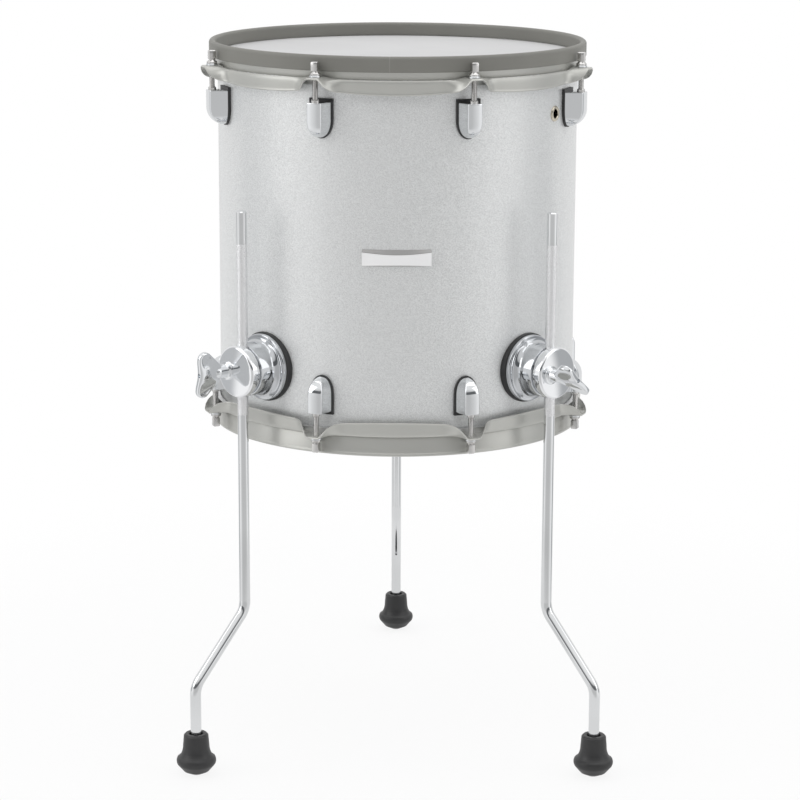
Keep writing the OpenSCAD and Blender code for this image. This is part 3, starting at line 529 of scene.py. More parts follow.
class Finishes:
    """All the drum's materials, made once and handed out by slot."""

    def __init__(self) -> None:
        """Builds one material for each slot and for each leg."""
        chrome = {"metallic": 1.0, "grains": 260.0, "depth": 0.000004, "cloud": 9.0, "shade": 0.02}
        self.by_slot = {
            Slot.WRAP: WrapFinish("Silver sparkle wrap", (0.80, 0.81, 0.81), 0.38, metallic=0.45, coat=0.3),
            Slot.HEAD: Finish("Coated head", (0.612, 0.612, 0.617), 0.55, grains=1400.0, depth=0.00004, shade=0.02),
            Slot.RING: Finish("Drawn ring", (0.7, 0.7, 0.7), 0.35, metallic=1.0, depth=0.00002),
            Slot.HOOP: Finish("Grey hoop paint", (0.55, 0.55, 0.52), 0.33, metallic=0.45, coat=0.15, coat_roughness=0.3, shade=0.03),
            Slot.COVER: CoverFinish("Rim cover rubber", (0.218, 0.215, 0.195), 0.5, grains=1500.0, depth=0.00003),
            Slot.CHROME: Finish("Bright chrome", (0.80, 0.815, 0.83), 0.06, **chrome),
            Slot.STEEL: Finish("Plated steel", (0.68, 0.67, 0.66), 0.24, metallic=1.0, grains=700.0, depth=0.00001),
            Slot.RUBBER: Finish("Black rubber", (0.028, 0.028, 0.029), 0.42, grains=1600.0, depth=0.00004, shade=0.15),
            Slot.NICKEL: Finish("Nickelled vent", (0.72, 0.66, 0.55), 0.16, metallic=1.0, depth=0.000006),
        }
        self.materials = {slot: finish.build() for slot, finish in self.by_slot.items()}
        self.legs = {corner: leg_finish(corner).build() for corner in Corner}
        self.thread = Finish("Threaded steel", (0.40, 0.355, 0.33), 0.33, metallic=0.8, depth=0.00001).build()
        self.satin = Finish("Satin badge", (0.97, 0.97, 0.975), 0.3, metallic=0.0, grains=500.0,
                            depth=0.000004, shade=0.015).build()
        # Painted shade: a darker copy of the chrome, standing in for the greyer room that the bases' sides reflect
        self.casting = Finish("Shaded casting chrome", (0.60, 0.615, 0.635), 0.07, **chrome).build()
        # Painted reflection: a brighter copy of the chrome, standing in for the white that the jaws' faces reflect
        self.disc = Finish("Lit disc chrome", (0.90, 0.91, 0.925), 0.06, **chrome).build()
        # Painted shade: grey for the darker tone that the tilted bevels show; they are the same metal as the face
        self.badge_edge_shade = Finish("Shaded badge edge", (0.46, 0.455, 0.45), 0.35, metallic=0.3, grains=500.0,
                                 depth=0.000004).build()

    def dress_frame(self) -> None:
        """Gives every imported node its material."""
        slots = {part["node"]: part["material_slot"] for part in frame["record"]["subparts"]}
        for name, node in frame["nodes"].items():
            material = self.materials[Slot(slots[name])]
            for corner in Corner:
                if name == f"leg_{corner.label}":
                    material = self.legs[corner]
            node.data.materials.clear()
            node.data.materials.append(material)

    def give(self, piece: bpy.types.Object, slot: Slot) -> None:
        """Puts a slot's material on a new piece."""
        piece.data.materials.clear()
        piece.data.materials.append(self.materials[slot])


def deselect() -> None:
    """Leaves edit mode and deselects everything."""
    if bpy.context.object and bpy.context.object.mode != "OBJECT":
        bpy.ops.object.mode_set(mode="OBJECT")
    bpy.ops.object.select_all(action="DESELECT")


def swept(name: str, profile: list[tuple[float, float]], steps: int, closed: bool = False) -> bpy.types.Object:
    """Sweeps a profile round the Z axis, by extruding and scaling one loop.

    Args:
        name: name of the new piece.
        profile: points of (radius, height) in millimetres.
        steps: number of points round.
        closed: whether the profile closes on itself; if not, both ends get a cap.

    Returns:
        The piece, on the Z axis.
    """
    deselect()
    points = profile + profile[:1] if closed else profile
    radius, height = points[0]
    bpy.ops.mesh.primitive_circle_add(
        vertices=steps, radius=radius * MM, fill_type="NOTHING" if closed else "NGON", location=(0, 0, height * MM))
    piece = bpy.context.object
    piece.name = name
    bpy.ops.object.transform_apply(location=True)
    bpy.ops.object.mode_set(mode="EDIT")
    bpy.ops.mesh.select_all(action="SELECT")
    for (r0, z0), (r1, z1) in zip(points, points[1:]):
        bpy.ops.mesh.extrude_region_move(TRANSFORM_OT_translate={"value": (0, 0, (z1 - z0) * MM)})
        bpy.ops.transform.resize(value=(r1 / r0, r1 / r0, 1), center_override=(0, 0, z1 * MM))
    bpy.ops.mesh.select_all(action="SELECT")
    bpy.ops.mesh.remove_doubles(threshold=1e-6)
    bpy.ops.mesh.normals_make_consistent(inside=False)
    bpy.ops.object.mode_set(mode="OBJECT")
    return piece


def lofted(name: str, sections: list[list[tuple[float, float, float]]]) -> bpy.types.Object:
    """Lofts a closed piece by extruding one face through sections of equally many points.

    Args:
        name: name of the new piece.
        sections: rings of points from one end to the other, in millimetres.

    Returns:
        The piece, with both ends capped.
    """
    deselect()
    count = len(sections[0])
    bpy.ops.mesh.primitive_circle_add(vertices=count, radius=MM, fill_type="NGON", location=(0, 0, 0))
    piece = bpy.context.object
    piece.name = name
    bpy.ops.object.mode_set(mode="EDIT")
    bpy.ops.mesh.select_all(action="SELECT")
    for _ in sections[1:]:
        bpy.ops.mesh.extrude_region_move(TRANSFORM_OT_translate={"value": (0, 0, MM)})
    bpy.ops.object.mode_set(mode="OBJECT")
    for i, vertex in enumerate(piece.data.vertices):
        vertex.co = Vector(sections[i // count][i % count]) * MM
    bpy.ops.object.mode_set(mode="EDIT")
    bpy.ops.mesh.select_all(action="SELECT")
    bpy.ops.mesh.normals_make_consistent(inside=False)
    bpy.ops.object.mode_set(mode="OBJECT")
    return piece


def drilled(piece: bpy.types.Object, tool: bpy.types.Object) -> None:
    """Cuts a tool's space out of a piece and removes the tool."""
    cut = piece.modifiers.new("Cut", "BOOLEAN")
    cut.object = tool
    cut.operation = "DIFFERENCE"
    cut.solver = "EXACT"
    apply_modifiers(piece)
    bpy.data.objects.remove(tool)


def apply_modifiers(piece: bpy.types.Object) -> None:
    """Applies a piece's modifiers in order."""
    deselect()
    piece.select_set(True)
    bpy.context.view_layer.objects.active = piece
    for modifier in list(piece.modifiers):
        bpy.ops.object.modifier_apply(modifier=modifier.name)


def rounded(piece: bpy.types.Object, width: float, segments: int = 2, angle: float = 40.0) -> None:
    """Bevels a piece's sharp edges.

    Args:
        piece: the piece.
        width: width of the bevel, in millimetres.
        segments: number of faces across it.
        angle: least angle between faces that counts as sharp, in degrees.
    """
    bevel = piece.modifiers.new("Bevel", "BEVEL")
    bevel.width = width * MM
    bevel.segments = segments
    bevel.limit_method = "ANGLE"
    bevel.angle_limit = math.radians(angle)
    apply_modifiers(piece)


def joined(pieces: list[bpy.types.Object]) -> bpy.types.Object:
    """Joins pieces into the first of them."""
    deselect()
    for piece in pieces:
        piece.select_set(True)
    bpy.context.view_layer.objects.active = pieces[0]
    bpy.ops.object.join()
    return bpy.context.object


def smoothed(piece: bpy.types.Object, angle: float = 35.0) -> None:
    """Shades a piece smooth where its faces meet at less than an angle."""
    deselect()
    piece.select_set(True)
    bpy.context.view_layer.objects.active = piece
    bpy.ops.object.shade_smooth_by_angle(angle=math.radians(angle))


def copied(piece: bpy.types.Object, name: str, place: Matrix) -> bpy.types.Object:
    """Copies a piece with its own mesh, moved to a place.

    Args:
        piece: the piece to copy.
        name: name of the copy.
        place: where the copy's mesh goes, in metres.

    Returns:
        The copy, with its object at the origin.
    """
    copy = piece.copy()
    copy.data = piece.data.copy()
    copy.name = name
    copy.data.transform(place)
    bpy.context.scene.collection.objects.link(copy)
    return copy


def rod_end(end: End, index: int, lug_back: float) -> Matrix:
    """Frame at the flat end of a rod's lug.

    Args:
        end: end of the shell.
        index: number of the rod, from 0 at the front on the right.
        lug_back: distance from the shell's edge to the lug, in millimetres.

    Returns:
        The frame on the drum's axis for the lug, with +X outwards and +Z towards the rod's head.
    """
    height = DRUM.shell_top - lug_back if end is End.TOP else DRUM.shell_z + lug_back
    place = DRUM.at(DRUM.rod_azimuth(index), height)
    return place if end is End.TOP else place @ Matrix.Rotation(math.pi, 4, "X")


@dataclass
class TensionRods:
    """Sixteen threaded rods with a flange, a cone and a square head each."""

    finishes: Finishes
    shank_r: float = 2.75
    thread_depth: float = 0.32
    pitch: float = 1.0
    grip: float = 13.0
    lug_back: float = 29.6
    seat: float = 25.65
    flange_r: float = 5.1
    flange_t: float = 1.8
    cone_h: float = 3.8
    neck_r: float = 2.95
    head_w: float = 6.35
    head_h: float = 7.0

    def shank(self) -> bpy.types.Object:
        """Turns the threaded shank with the flange and the cone.

        Returns:
            The shank, from its tip upwards.
        """
        root = self.shank_r - self.thread_depth
        profile = [(root - 0.5, -self.grip), (root, -self.grip + 0.6)]
        z = -self.grip + 0.6
        while z < self.seat - 1.5 * self.pitch:
            profile += [(root, z + 0.15), (self.shank_r, z + 0.45), (self.shank_r, z + 0.6), (root, z + 0.9)]
            z += self.pitch
        seat, rim = self.seat, self.seat + self.flange_t
        profile += [(self.shank_r, seat - 0.5), (self.shank_r, seat), (self.flange_r - 0.3, seat),
                    (self.flange_r, seat + 0.3), (self.flange_r, rim - 0.4), (self.flange_r - 0.3, rim),
                    (self.flange_r - 0.9, rim + 0.5), (self.neck_r + 0.5, rim + 1.1), (self.neck_r, rim + 1.7),
                    (self.neck_r, rim + self.cone_h * 0.6), (self.neck_r * 0.6, rim + self.cone_h * 0.7)]
        return swept("rod_shank", profile, 24)

    def head(self) -> bpy.types.Object:
        """Makes the square head, with softened edges and a chamfered top.

        Returns:
            The head.
        """
        deselect()
        low = self.seat + self.flange_t + self.cone_h * 0.55
        top = self.seat + self.flange_t + self.cone_h + self.head_h
        bpy.ops.mesh.primitive_cube_add(size=1, location=(0, 0, (low + top) / 2 * MM))
        head = bpy.context.object
        head.scale = (self.head_w * MM, self.head_w * MM, (top - low) * MM)
        bpy.ops.object.transform_apply(location=True, rotation=False, scale=True)
        bpy.ops.object.mode_set(mode="EDIT")
        bpy.ops.mesh.select_all(action="DESELECT")
        bpy.ops.object.mode_set(mode="OBJECT")
        for face in head.data.polygons:
            face.select = face.normal.z > 0.9
        bpy.ops.object.mode_set(mode="EDIT")
        bpy.ops.mesh.inset(thickness=0.7 * MM)
        bpy.ops.transform.translate(value=(0, 0, 0))
        bpy.ops.object.mode_set(mode="OBJECT")
        for vertex in head.data.vertices:
            if abs(vertex.co.z - top * MM) < 1e-7 and max(abs(vertex.co.x), abs(vertex.co.y)) > self.head_w * 0.45 * MM:
                vertex.co.z -= 0.6 * MM
        rounded(head, 0.35, 2, 30)
        return head

    def build(self) -> list[bpy.types.Object]:
        """Makes one rod, and puts a copy at each place at both ends.

        Returns:
            The sixteen rods.
        """
        model = joined([self.shank(), self.head()])
        model.data.transform(Matrix.Translation((DRUM.rod_ring * MM, 0, 0)))
        smoothed(model, 32)
        for face in model.data.polygons:
            face.material_index = 1 if face.center.z < (self.seat - 0.2) * MM else 0
        rods = []
        for end in End:
            for index in range(DRUM.rod_count):
                name = f"tension_rod_{end.name.lower()}_{index + 1}"
                place = rod_end(end, index, self.lug_back)
                rod = copied(model, f"threaded_rod_{end.name.lower()}_{index + 1}", place)
                self.finishes.give(rod, Slot.STEEL)
                rod.data.materials.append(self.finishes.thread)
                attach(rod, name)
                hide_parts(name)
                rods.append(rod)
        bpy.data.objects.remove(model)
        return rods


@dataclass
class Hoops:
    """Top and bottom hoop: rim wall, step and the flange that rises into an ear at each rod."""

    finishes: Finishes
    steps: int = 480
    metal: float = 2.0
    skirt_in: float = 184.2
    ear_back: float = 5.7
    rim_h: float = 16.8
    lip_h: float = 3.0
    lip_out: float = 1.0
    seam_h: float = 1.2
    seam_d: float = 0.8
    skirt_h: float = 13.8
    flare: float = 0.7
    ear_out: float = 8.5
    ear_flat: float = 6.5
    ear_half: float = 27.0
    hook: float = 0.5
    edge_metal: float = 1.3
    drop: float = 2.0
    belly: float = 2.4
    belly_from: float = 2.0
    flange_points: int = 9

    def wall(self) -> list[tuple[float, float]]:
        """Section of the rim wall, from the step's inside round the rim to the seam."""
        out = self.skirt_in - 0.2
        inner = out - self.metal
        return [
            (self.skirt_in, -self.metal), (inner, -self.metal), (inner, self.rim_h - 0.6), (inner + 0.6, self.rim_h),
            (out + self.lip_out - 0.7, self.rim_h), (out + self.lip_out - 0.2, self.rim_h - 0.2),
            (out + self.lip_out, self.rim_h - 0.7), (out + self.lip_out, self.rim_h - self.lip_h + self.lip_out),
            (out + 0.3, self.rim_h - self.lip_h + 0.2), (out, self.rim_h - self.lip_h - 0.3),
            (out, 0.3 - self.drop), (out - 0.2, 0.1 - self.drop),
            (out - self.seam_d, -self.drop), (out - self.seam_d, -self.drop - 0.9)]

    def flange(self, mix: float) -> list[tuple[float, float]]:
        """Section of the flange.

        Args:
            mix: 1 on the flat of an ear, 0 on the skirt.

        Returns:
            Points along its outer face to the free edge, and back along its inner face.
        """
        half = self.metal / 2
        root = self.skirt_in + half
        turn = math.radians(90 * (1 - mix))
        start = Vector((root + 0.1, -half - self.drop * (1 - mix)))
        reach = DRUM.rod_ring + self.ear_out - root
        end = Vector((root + self.flare + (reach - self.flare) * math.cos(turn),
                      -half - (self.skirt_h - half - self.hook) * math.sin(turn)))
        bend = Vector((start.x + 0.5 * (end.x - start.x) + 1.1 * math.sin(turn), start.y + 0.1 * (end.y - start.y)))
        line = []
        for i in range(self.flange_points):
            t = i / (self.flange_points - 1)
            line.append((1 - t) ** 2 * start + 2 * t * (1 - t) * bend + t * t * end)
        tip = line[-1] + Vector((0.0, -self.hook))
        line += [line[-1] + Vector((0.25, -self.hook * 0.4)), tip]
        outer, inner = [], []
        for i, point in enumerate(line):
            along = (line[min(i + 1, len(line) - 1)] - line[max(i - 1, 0)]).normalized()
            normal = Vector((-along.y, along.x))
            wall = half + (self.edge_metal / 2 - half) * (i / (len(line) - 1)) ** 2
            outer.append(tuple(point + normal * wall))
            inner.append(tuple(point - normal * wall))
        return outer + inner[::-1]

    def ear_mix(self, azimuth: float) -> float:
        """How much of an ear there is at an azimuth: 1 on its flat, 0 on the skirt."""
        pitch = 360 / DRUM.rod_count
        away = (azimuth - DRUM.lug_turn) % pitch - pitch / 2
        arc = abs(math.radians(away)) * DRUM.rod_ring
        away = min(1.0, max(0.0, (arc - self.ear_flat) / (self.ear_half - self.ear_flat)))
        return (1 - away) ** 2

    def belly_mix(self, azimuth: float) -> float:
        """How much deeper the skirt hangs at an azimuth: 1 midway between ears, 0 at an ear."""
        pitch = 360 / DRUM.rod_count
        away = abs((azimuth - DRUM.lug_turn) % pitch - pitch / 2)
        arc = math.radians(away) * DRUM.rod_ring
        middle = math.radians(pitch / 2) * DRUM.rod_ring
        share = max(0.0, (arc - self.ear_half * 0.7) / (middle - self.ear_half * 0.7))
        return 1 - (1 - share) ** 2

    def model(self) -> bpy.types.Object:
        """Sweeps the skirt's section round, then raises the flange into the ears.

        Returns:
            The top hoop, with its ears' upper face at zero height.
        """
        wall = self.wall()
        piece = swept("hoop_model", wall + self.flange(0.0), self.steps, closed=True)
        count = len(wall)
        for i, vertex in enumerate(piece.data.vertices):
            ring = i // self.steps
            if ring < count:
                continue
            azimuth = math.degrees(math.atan2(vertex.co.x, -vertex.co.y))
            radius, height = self.flange(self.ear_mix(azimuth))[ring - count]
            depth = min(1.0, max(0.0, (-height - self.belly_from) / (self.skirt_h - self.belly_from)))
            height -= self.belly * self.belly_mix(azimuth) * depth
            angle = math.radians(azimuth)
            vertex.co = (radius * MM * math.sin(angle), -radius * MM * math.cos(angle), height * MM)
        return piece

    def build(self) -> list[bpy.types.Object]:
        """Makes both hoops from one model.

        Returns:
            The two hoops.
        """
        model = self.model()
        smoothed(model, 50)
        hoops = []
        for end in End:
            place = Matrix.Translation((0, DRUM.axis_y * MM, (DRUM.shell_top - self.ear_back) * MM))
            if end is End.BOTTOM:
                middle = (DRUM.shell_z + DRUM.shell_top) * MM
                place = Matrix.Translation((0, 0, middle)) @ Matrix.Diagonal((1, 1, -1, 1)) @ place
            hoop = copied(model, f"{end.name.lower()}_hoop_shaped", place)
            if end is End.BOTTOM:
                hoop.data.flip_normals()
            self.finishes.give(hoop, Slot.HOOP)
            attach(hoop, "drum")
            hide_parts(f"{end.name.lower()}_hoop")
            hoops.append(hoop)
        bpy.data.objects.remove(model)
        return hoops


@dataclass
class WingBolts:
    """Three cast wing bolts with a round shoulder, a hub and two holed wings each."""

    finishes: Finishes
    jaw_face: float = 220.0
    side: float = 10.8
    stud_r: float = 3.5
    stud_end: float = -24.7
    shoulder_r: float = 9.0
    shoulder_t: float = 1.6
    sunk: float = 0.7
    hub_r: float = 6.0
    hub_h: float = 17.0
    span: float = 22.7
    rise: float = 37.0
    tip_r: float = 7.5
    neck: float = 7.5
    spread: float = 9.0
    notch: float = 2.0
    thick: float = 7.4
    tip_thick: float = 5.4
    hollow: float = 1.1
    hole_r: float = 1.9
    hole_h: float = 5.0
    points: int = 40

    def hub(self) -> bpy.types.Object:
        """Turns the stud, the shoulder and the hub.

        Returns:
            The hub, along +Z.
        """
        r, t, h = self.hub_r, self.shoulder_t, self.hub_h
        profile = [
            (self.stud_r - 0.6, self.stud_end), (self.stud_r, self.stud_end + 0.6), (self.stud_r, -self.sunk),
            (self.shoulder_r - 0.3, -self.sunk), (self.shoulder_r, 0.3 - self.sunk), (self.shoulder_r, t - 0.5),
            (self.shoulder_r - 0.2, t - 0.15), (self.shoulder_r - 0.6, t), (r + 1.6, t + 0.1), (r + 0.6, t + 0.5),
            (r + 0.1, t + 1.2), (r, t + 2), (r * 0.97, h * 0.6), (r * 0.9, h - 3), (r * 0.75, h - 1.4),
            (r * 0.5, h - 0.5), (r * 0.2, h)]
        return swept("wing_hub", profile, 40)

    def heights(self, across: float) -> tuple[float, float]:
        """Lower and upper edge of the wings.

        Args:
            across: distance from the bolt's axis, in millimetres.

        Returns:
            The two heights above the jaw's face.
        """
        centre_y, centre_z = self.span - self.tip_r, self.rise - self.tip_r
        corner = self.tip_r * math.sqrt(0.5)
        round_h = math.sqrt(max(0.0, self.tip_r ** 2 - max(0.0, across - centre_y) ** 2))
        if across < self.neck:
            low = self.spread
        elif across < centre_y + corner:
            share = (across - self.neck) / (centre_y + corner - self.neck)
            low = self.spread + share * (centre_z - corner - self.spread)
        else:
            low = centre_z - round_h
        dip = 0.5 + 0.5 * math.cos(math.pi * min(1.0, across / centre_y))
        return low, centre_z + round_h - self.notch * dip

    def section(self, across: float) -> list[tuple[float, float, float]]:
        """Rounded section of the wings at a distance from the axis, hollow on both faces."""
        low, high = self.heights(abs(across))
        middle, half = (low + high) / 2, (high - low) / 2
        share = abs(across) / self.span
        edge = max(0.0, abs(across) - self.span + 2.2) / 2.2
        thick = (self.thick + share * (self.tip_thick - self.thick)) / 2 * (0.45 + 0.55 * math.sqrt(1 - edge ** 2))
        ring = []
        for i in range(self.points):
            angle = math.tau * (i + 0.5) / self.points
            y, z = (math.copysign(abs(part) ** 0.42, part) for part in (math.cos(angle), math.sin(angle)))
            sunk = self.hollow * (1 - z * z) * max(0.0, 1 - ((abs(across) - 13) / 8) ** 2) / thick
            ring.append((across, y * thick * (1 - sunk), middle + z * half))
        return ring

    def wings(self) -> bpy.types.Object:
        """Lofts both wings from tip to tip and drills the hole in the outer end.

        Returns:
            The wings, in the XZ plane with the bolt along +Z.
        """
        places = [self.span - self.tip_r + self.tip_r * math.sin(math.radians(a)) for a in range(86, 0, -9)]
        places += [13.0, 10.5, 8.4, 7.0, 5.0, 3.0, 1.0]
        piece = lofted("wings", [self.section(x) for x in places + [-x for x in places[::-1]]])
        bpy.ops.mesh.primitive_cylinder_add(
            vertices=32, radius=self.hole_r * MM, depth=2 * self.hole_h * MM,
            location=(0, 0, (self.rise - self.notch) * MM))
        drill = bpy.context.object
        drilled(piece, drill)
        return piece

    def build(self) -> list[bpy.types.Object]:
        """Makes one wing bolt and puts a copy in each bracket.

        Returns:
            The three wing bolts.
        """
        model = joined([self.hub(), self.wings()])
        smoothed(model, 45)
        bolts = []
        turn_out = Matrix.Rotation(math.pi / 2, 4, "Y")
        for corner in Corner:
            height = DRUM.shell_z + DRUM.bracket_z
            place = DRUM.at(corner.azimuth, height) @ Matrix.Translation((self.jaw_face * MM, -self.side * MM, 0))
            level = Matrix.Rotation(math.radians(corner.wing_turn), 4, "X") @ turn_out @ Matrix.Rotation(math.pi / 2, 4, "Z")
            bolt = copied(model, f"wing_{corner.label}_cast", place @ level)
            self.finishes.give(bolt, Slot.CHROME)
            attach(bolt, f"wing_{corner.label}")
            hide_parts(f"wing_bolt_{corner.label}")
            bolts.append(bolt)
        bpy.data.objects.remove(model)
        return bolts


@dataclass
class Lugs:
    """Sixteen cast lugs: half moons with a flat front and soft edges, and a round well."""

    finishes: Finishes
    height: float = 33.8
    straight: float = 17.0
    width: float = 17.8
    face_w: float = 13.4
    edge_r: float = 2.0
    crown: float = 0.6
    foot: float = 180.8
    face: float = 198.0
    lug_back: float = 29.6
    end_round: float = 0.8
    well_r: float = 3.85
    well_h: float = 14.0

    def plan(self) -> list[tuple[float, float]]:
        """Section across the straight part, as points of depth and side."""
        half, front, edge = self.width / 2, self.face_w / 2, self.edge_r
        side = [(self.foot, half + 1.9), (self.foot + 4, half + 0.9), (self.foot + 8, half - 0.1),
                (self.foot + 12, half - 1.2)]
        for i in range(6):
            angle = math.radians(i * 18)
            side.append((self.face - edge + edge * math.sin(angle) - self.crown,
                         front - edge * 0.45 + edge * 0.8 * math.cos(angle)))
        side += [(self.face - self.crown * share ** 2, front * share) for share in (0.66, 0.33)]
        return side + [(self.face, 0.0)] + [(x, -y) for x, y in side[::-1]]

    def model(self) -> bpy.types.Object:
        """Lofts the lug from its flat end to its tip.

        Returns:
            The lug, with the flat end at zero height and its tip below.
        """
        plan = self.plan()
        levels = [(0.0, self.end_round), (0.08, self.end_round * 0.4), (0.3, self.end_round * 0.12),
                  (self.end_round, 0.0), (6.0, 0.0), (12.0, 0.0)]
        sections = [[(x - max(0.0, inset * (x - self.foot) / (self.face - self.foot)),
                      y * (1 - inset / (self.width / 2)), -down) for x, y in plan] for down, inset in levels]
        run = self.height - self.straight
        for angle in range(0, 89, 8):
            share = math.cos(math.radians(angle))
            down = self.straight + run * math.sin(math.radians(angle))
            sections.append([(self.foot + (x - self.foot) * share, y * share ** 0.9, -down) for x, y in plan])
        piece = lofted("lug_model", sections)
        bpy.ops.mesh.primitive_cylinder_add(
            vertices=40, radius=self.well_r * MM, depth=2 * self.well_h * MM, location=(DRUM.rod_ring * MM, 0, 0))
        drilled(piece, bpy.context.object)
        return piece

    def build(self) -> list[bpy.types.Object]:
        """Makes one lug and joins eight copies for each end of the shell.

        Returns:
            The two rows of lugs.
        """
        model = self.model()
        smoothed(model, 38)
        rows = []
        for end in End:
            row = []
            for index in range(DRUM.rod_count):
                place = rod_end(end, index, self.lug_back)
                row.append(copied(model, f"lug_{end.name.lower()}_{index + 1}", place))
            lugs = joined(row)
            lugs.name = f"{end.name.lower()}_lugs_cast"
            self.finishes.give(lugs, Slot.CHROME)
            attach(lugs, "drum")
            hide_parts(f"{end.name.lower()}_lugs")
            rows.append(lugs)
        bpy.data.objects.remove(model)
        return rows


@dataclass
class Brackets:
    """Three cast bracket bases with rounded edges, each on a rubber ring."""

    finishes: Finishes
    ring_r: float = 33.8
    ring_face: float = 181.3
    ring_sunk: float = 4.5
    flange_r: float = 32.5
    flange_end: float = 185.5
    step: float = 1.6
    cone: float = 7.5
    cone_end: float = 193.8
    barrel_r: float = 25.0
    barrel_end: float = 207.2
    groove_r: float = 5.3
    jaw_in: float = 210.8
    jaw_face: float = 220.0
    jaw_round: float = 2.6
    dome_r: float = 300.0
    sleeve_r: float = 23.2
    pin_r: float = 2.5
    pin_side: float = 14.0
    pin_start: float = 199.3
    opening: float = 2.5
    steps: int = 96

    def ring(self) -> bpy.types.Object:
        """Turns the rubber ring, sunk a little into the round of the wall."""
        back, face, r = DRUM.shell_r - self.ring_sunk, self.ring_face, self.ring_r
        profile = [(r - 6, back), (r, back), (r, face - 1.0), (r - 0.3, face - 0.3), (r - 1.0, face), (r - 6, face)]
        return swept("bracket_ring", profile, self.steps)

    def base(self) -> bpy.types.Object:
        """Turns the flange, the step, the hollow cone and the barrel, and cuts the leg's groove.

        Returns:
            The base, along +Z from the drum's axis.
        """
        foot, end, barrel = self.flange_r, self.flange_end, self.barrel_r
        root = foot - self.step
        profile = [(foot - 3, self.ring_face), (foot - 0.4, self.ring_face), (foot, self.ring_face + 0.4)]
        for angle in range(0, 91, 18):
            share = math.radians(angle)
            profile.append((foot - 1.6 + 1.6 * math.cos(share), end - 1.6 + 1.6 * math.sin(share)))
        profile += [(root - 0.6, end + 0.05)]
        start = self.cone_end - self.cone
        for i in range(9):
            share = math.radians(11.25 * i)
            profile.append((barrel + (root - 0.8 - barrel) * (1 - math.sin(share)),
                            start + 0.3 + (self.cone - 0.3) * (1 - math.cos(share))))
        profile += [(barrel, self.barrel_end - 1.2), (barrel - 0.35, self.barrel_end - 0.35),
                    (barrel - 1.2, self.barrel_end), (barrel - 12, self.barrel_end)]
        piece = swept("bracket_base", profile, self.steps)
        self.cut_groove(piece)
        return piece

    def cut_groove(self, piece: bpy.types.Object, inward: float = 0.0) -> None:
        """Cuts the upright groove for the leg.

        Args:
            piece: the base or the jaw, along +Z.
            inward: how far the groove stands inside the leg's axis, in millimetres.
        """
        bpy.ops.mesh.primitive_cylinder_add(
            vertices=48, radius=self.groove_r * MM, depth=0.1, location=(0, 0, (DRUM.leg_ring - inward) * MM),
            rotation=(0, math.pi / 2, 0))
        tool = bpy.context.object
        deselect()
        tool.select_set(True)
        bpy.context.view_layer.objects.active = tool
        bpy.ops.object.transform_apply(rotation=True)
        drilled(piece, tool)

    def jaw(self) -> bpy.types.Object:
        """Turns the slightly domed jaw with its round rim and inner sleeve, and adds the guide pin.

        Returns:
            The jaw, along +Z from the drum's axis.
        """
        inner, outer, rim = self.jaw_in, self.barrel_r, self.jaw_round
        edge = outer - rim
        top = self.jaw_face - edge ** 2 / (2 * self.dome_r)
        profile = [
            (outer - 13, self.barrel_end + 0.4), (self.sleeve_r, self.barrel_end + 0.4), (self.sleeve_r, inner),
            (outer - 0.8, inner), (outer, inner + 0.8)]
        for angle in range(0, 81, 16):
            share = math.radians(angle)
            profile.append((edge + rim * math.cos(share), top - rim + rim * math.sin(share)))
        for radius in (edge - 0.6, 20, 17, 14, 11, 8, 5, 2):
            profile.append((radius, self.jaw_face - radius ** 2 / (2 * self.dome_r)))
        disc = swept("jaw_disc", profile, self.steps)
        self.cut_groove(disc)
        self.cut_groove(disc, self.opening)
        pin = swept("jaw_pin", [(self.pin_r - 0.3, self.pin_start), (self.pin_r, self.pin_start + 0.3),
                                (self.pin_r, inner + 0.8)], 24)
        pin.data.transform(Matrix.Translation((0, self.pin_side * MM, 0)))
        return joined([disc, pin])

    def build(self) -> list[bpy.types.Object]:
        """Makes one ring, one base and one jaw, and puts copies at the three corners.

        Returns:
            The rings joined in one piece, the three bases and the three jaws.
        """
        ring, base, jaw = self.ring(), self.base(), self.jaw()
        smoothed(ring, 50)
        smoothed(base, 32)
        smoothed(jaw, 32)
        outward = Matrix.Rotation(math.pi / 2, 4, "Y")
        rings, pieces = [], []
        for corner in Corner:
            place = DRUM.at(corner.azimuth, DRUM.shell_z + DRUM.bracket_z) @ outward
            rings.append(copied(ring, f"bracket_ring_{corner.label}", place))
            casting = copied(base, f"bracket_casting_{corner.label}", place)
            self.finishes.give(casting, Slot.CHROME)
            # the bases wear the darker chrome copy, which is painted shade
            casting.data.materials[0] = self.finishes.casting
            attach(casting, "drum")
            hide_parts(f"bracket_base_{corner.label}")
            disc = copied(jaw, f"jaw_disc_{corner.label}", place)
            self.finishes.give(disc, Slot.CHROME)
            # the jaws wear the brighter chrome copy, which is painted reflection
            disc.data.materials[0] = self.finishes.disc
            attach(disc, f"jaw_{corner.label}")
            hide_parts(f"clamp_jaw_{corner.label}")
            pieces += [casting, disc]
        gaskets = joined(rings)
        gaskets.name = "bracket_rings"
        self.finishes.give(gaskets, Slot.RUBBER)
        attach(gaskets, "drum")
        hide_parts("bracket_gaskets")
        for model in (ring, base, jaw):
            bpy.data.objects.remove(model)
        return [gaskets, *pieces]


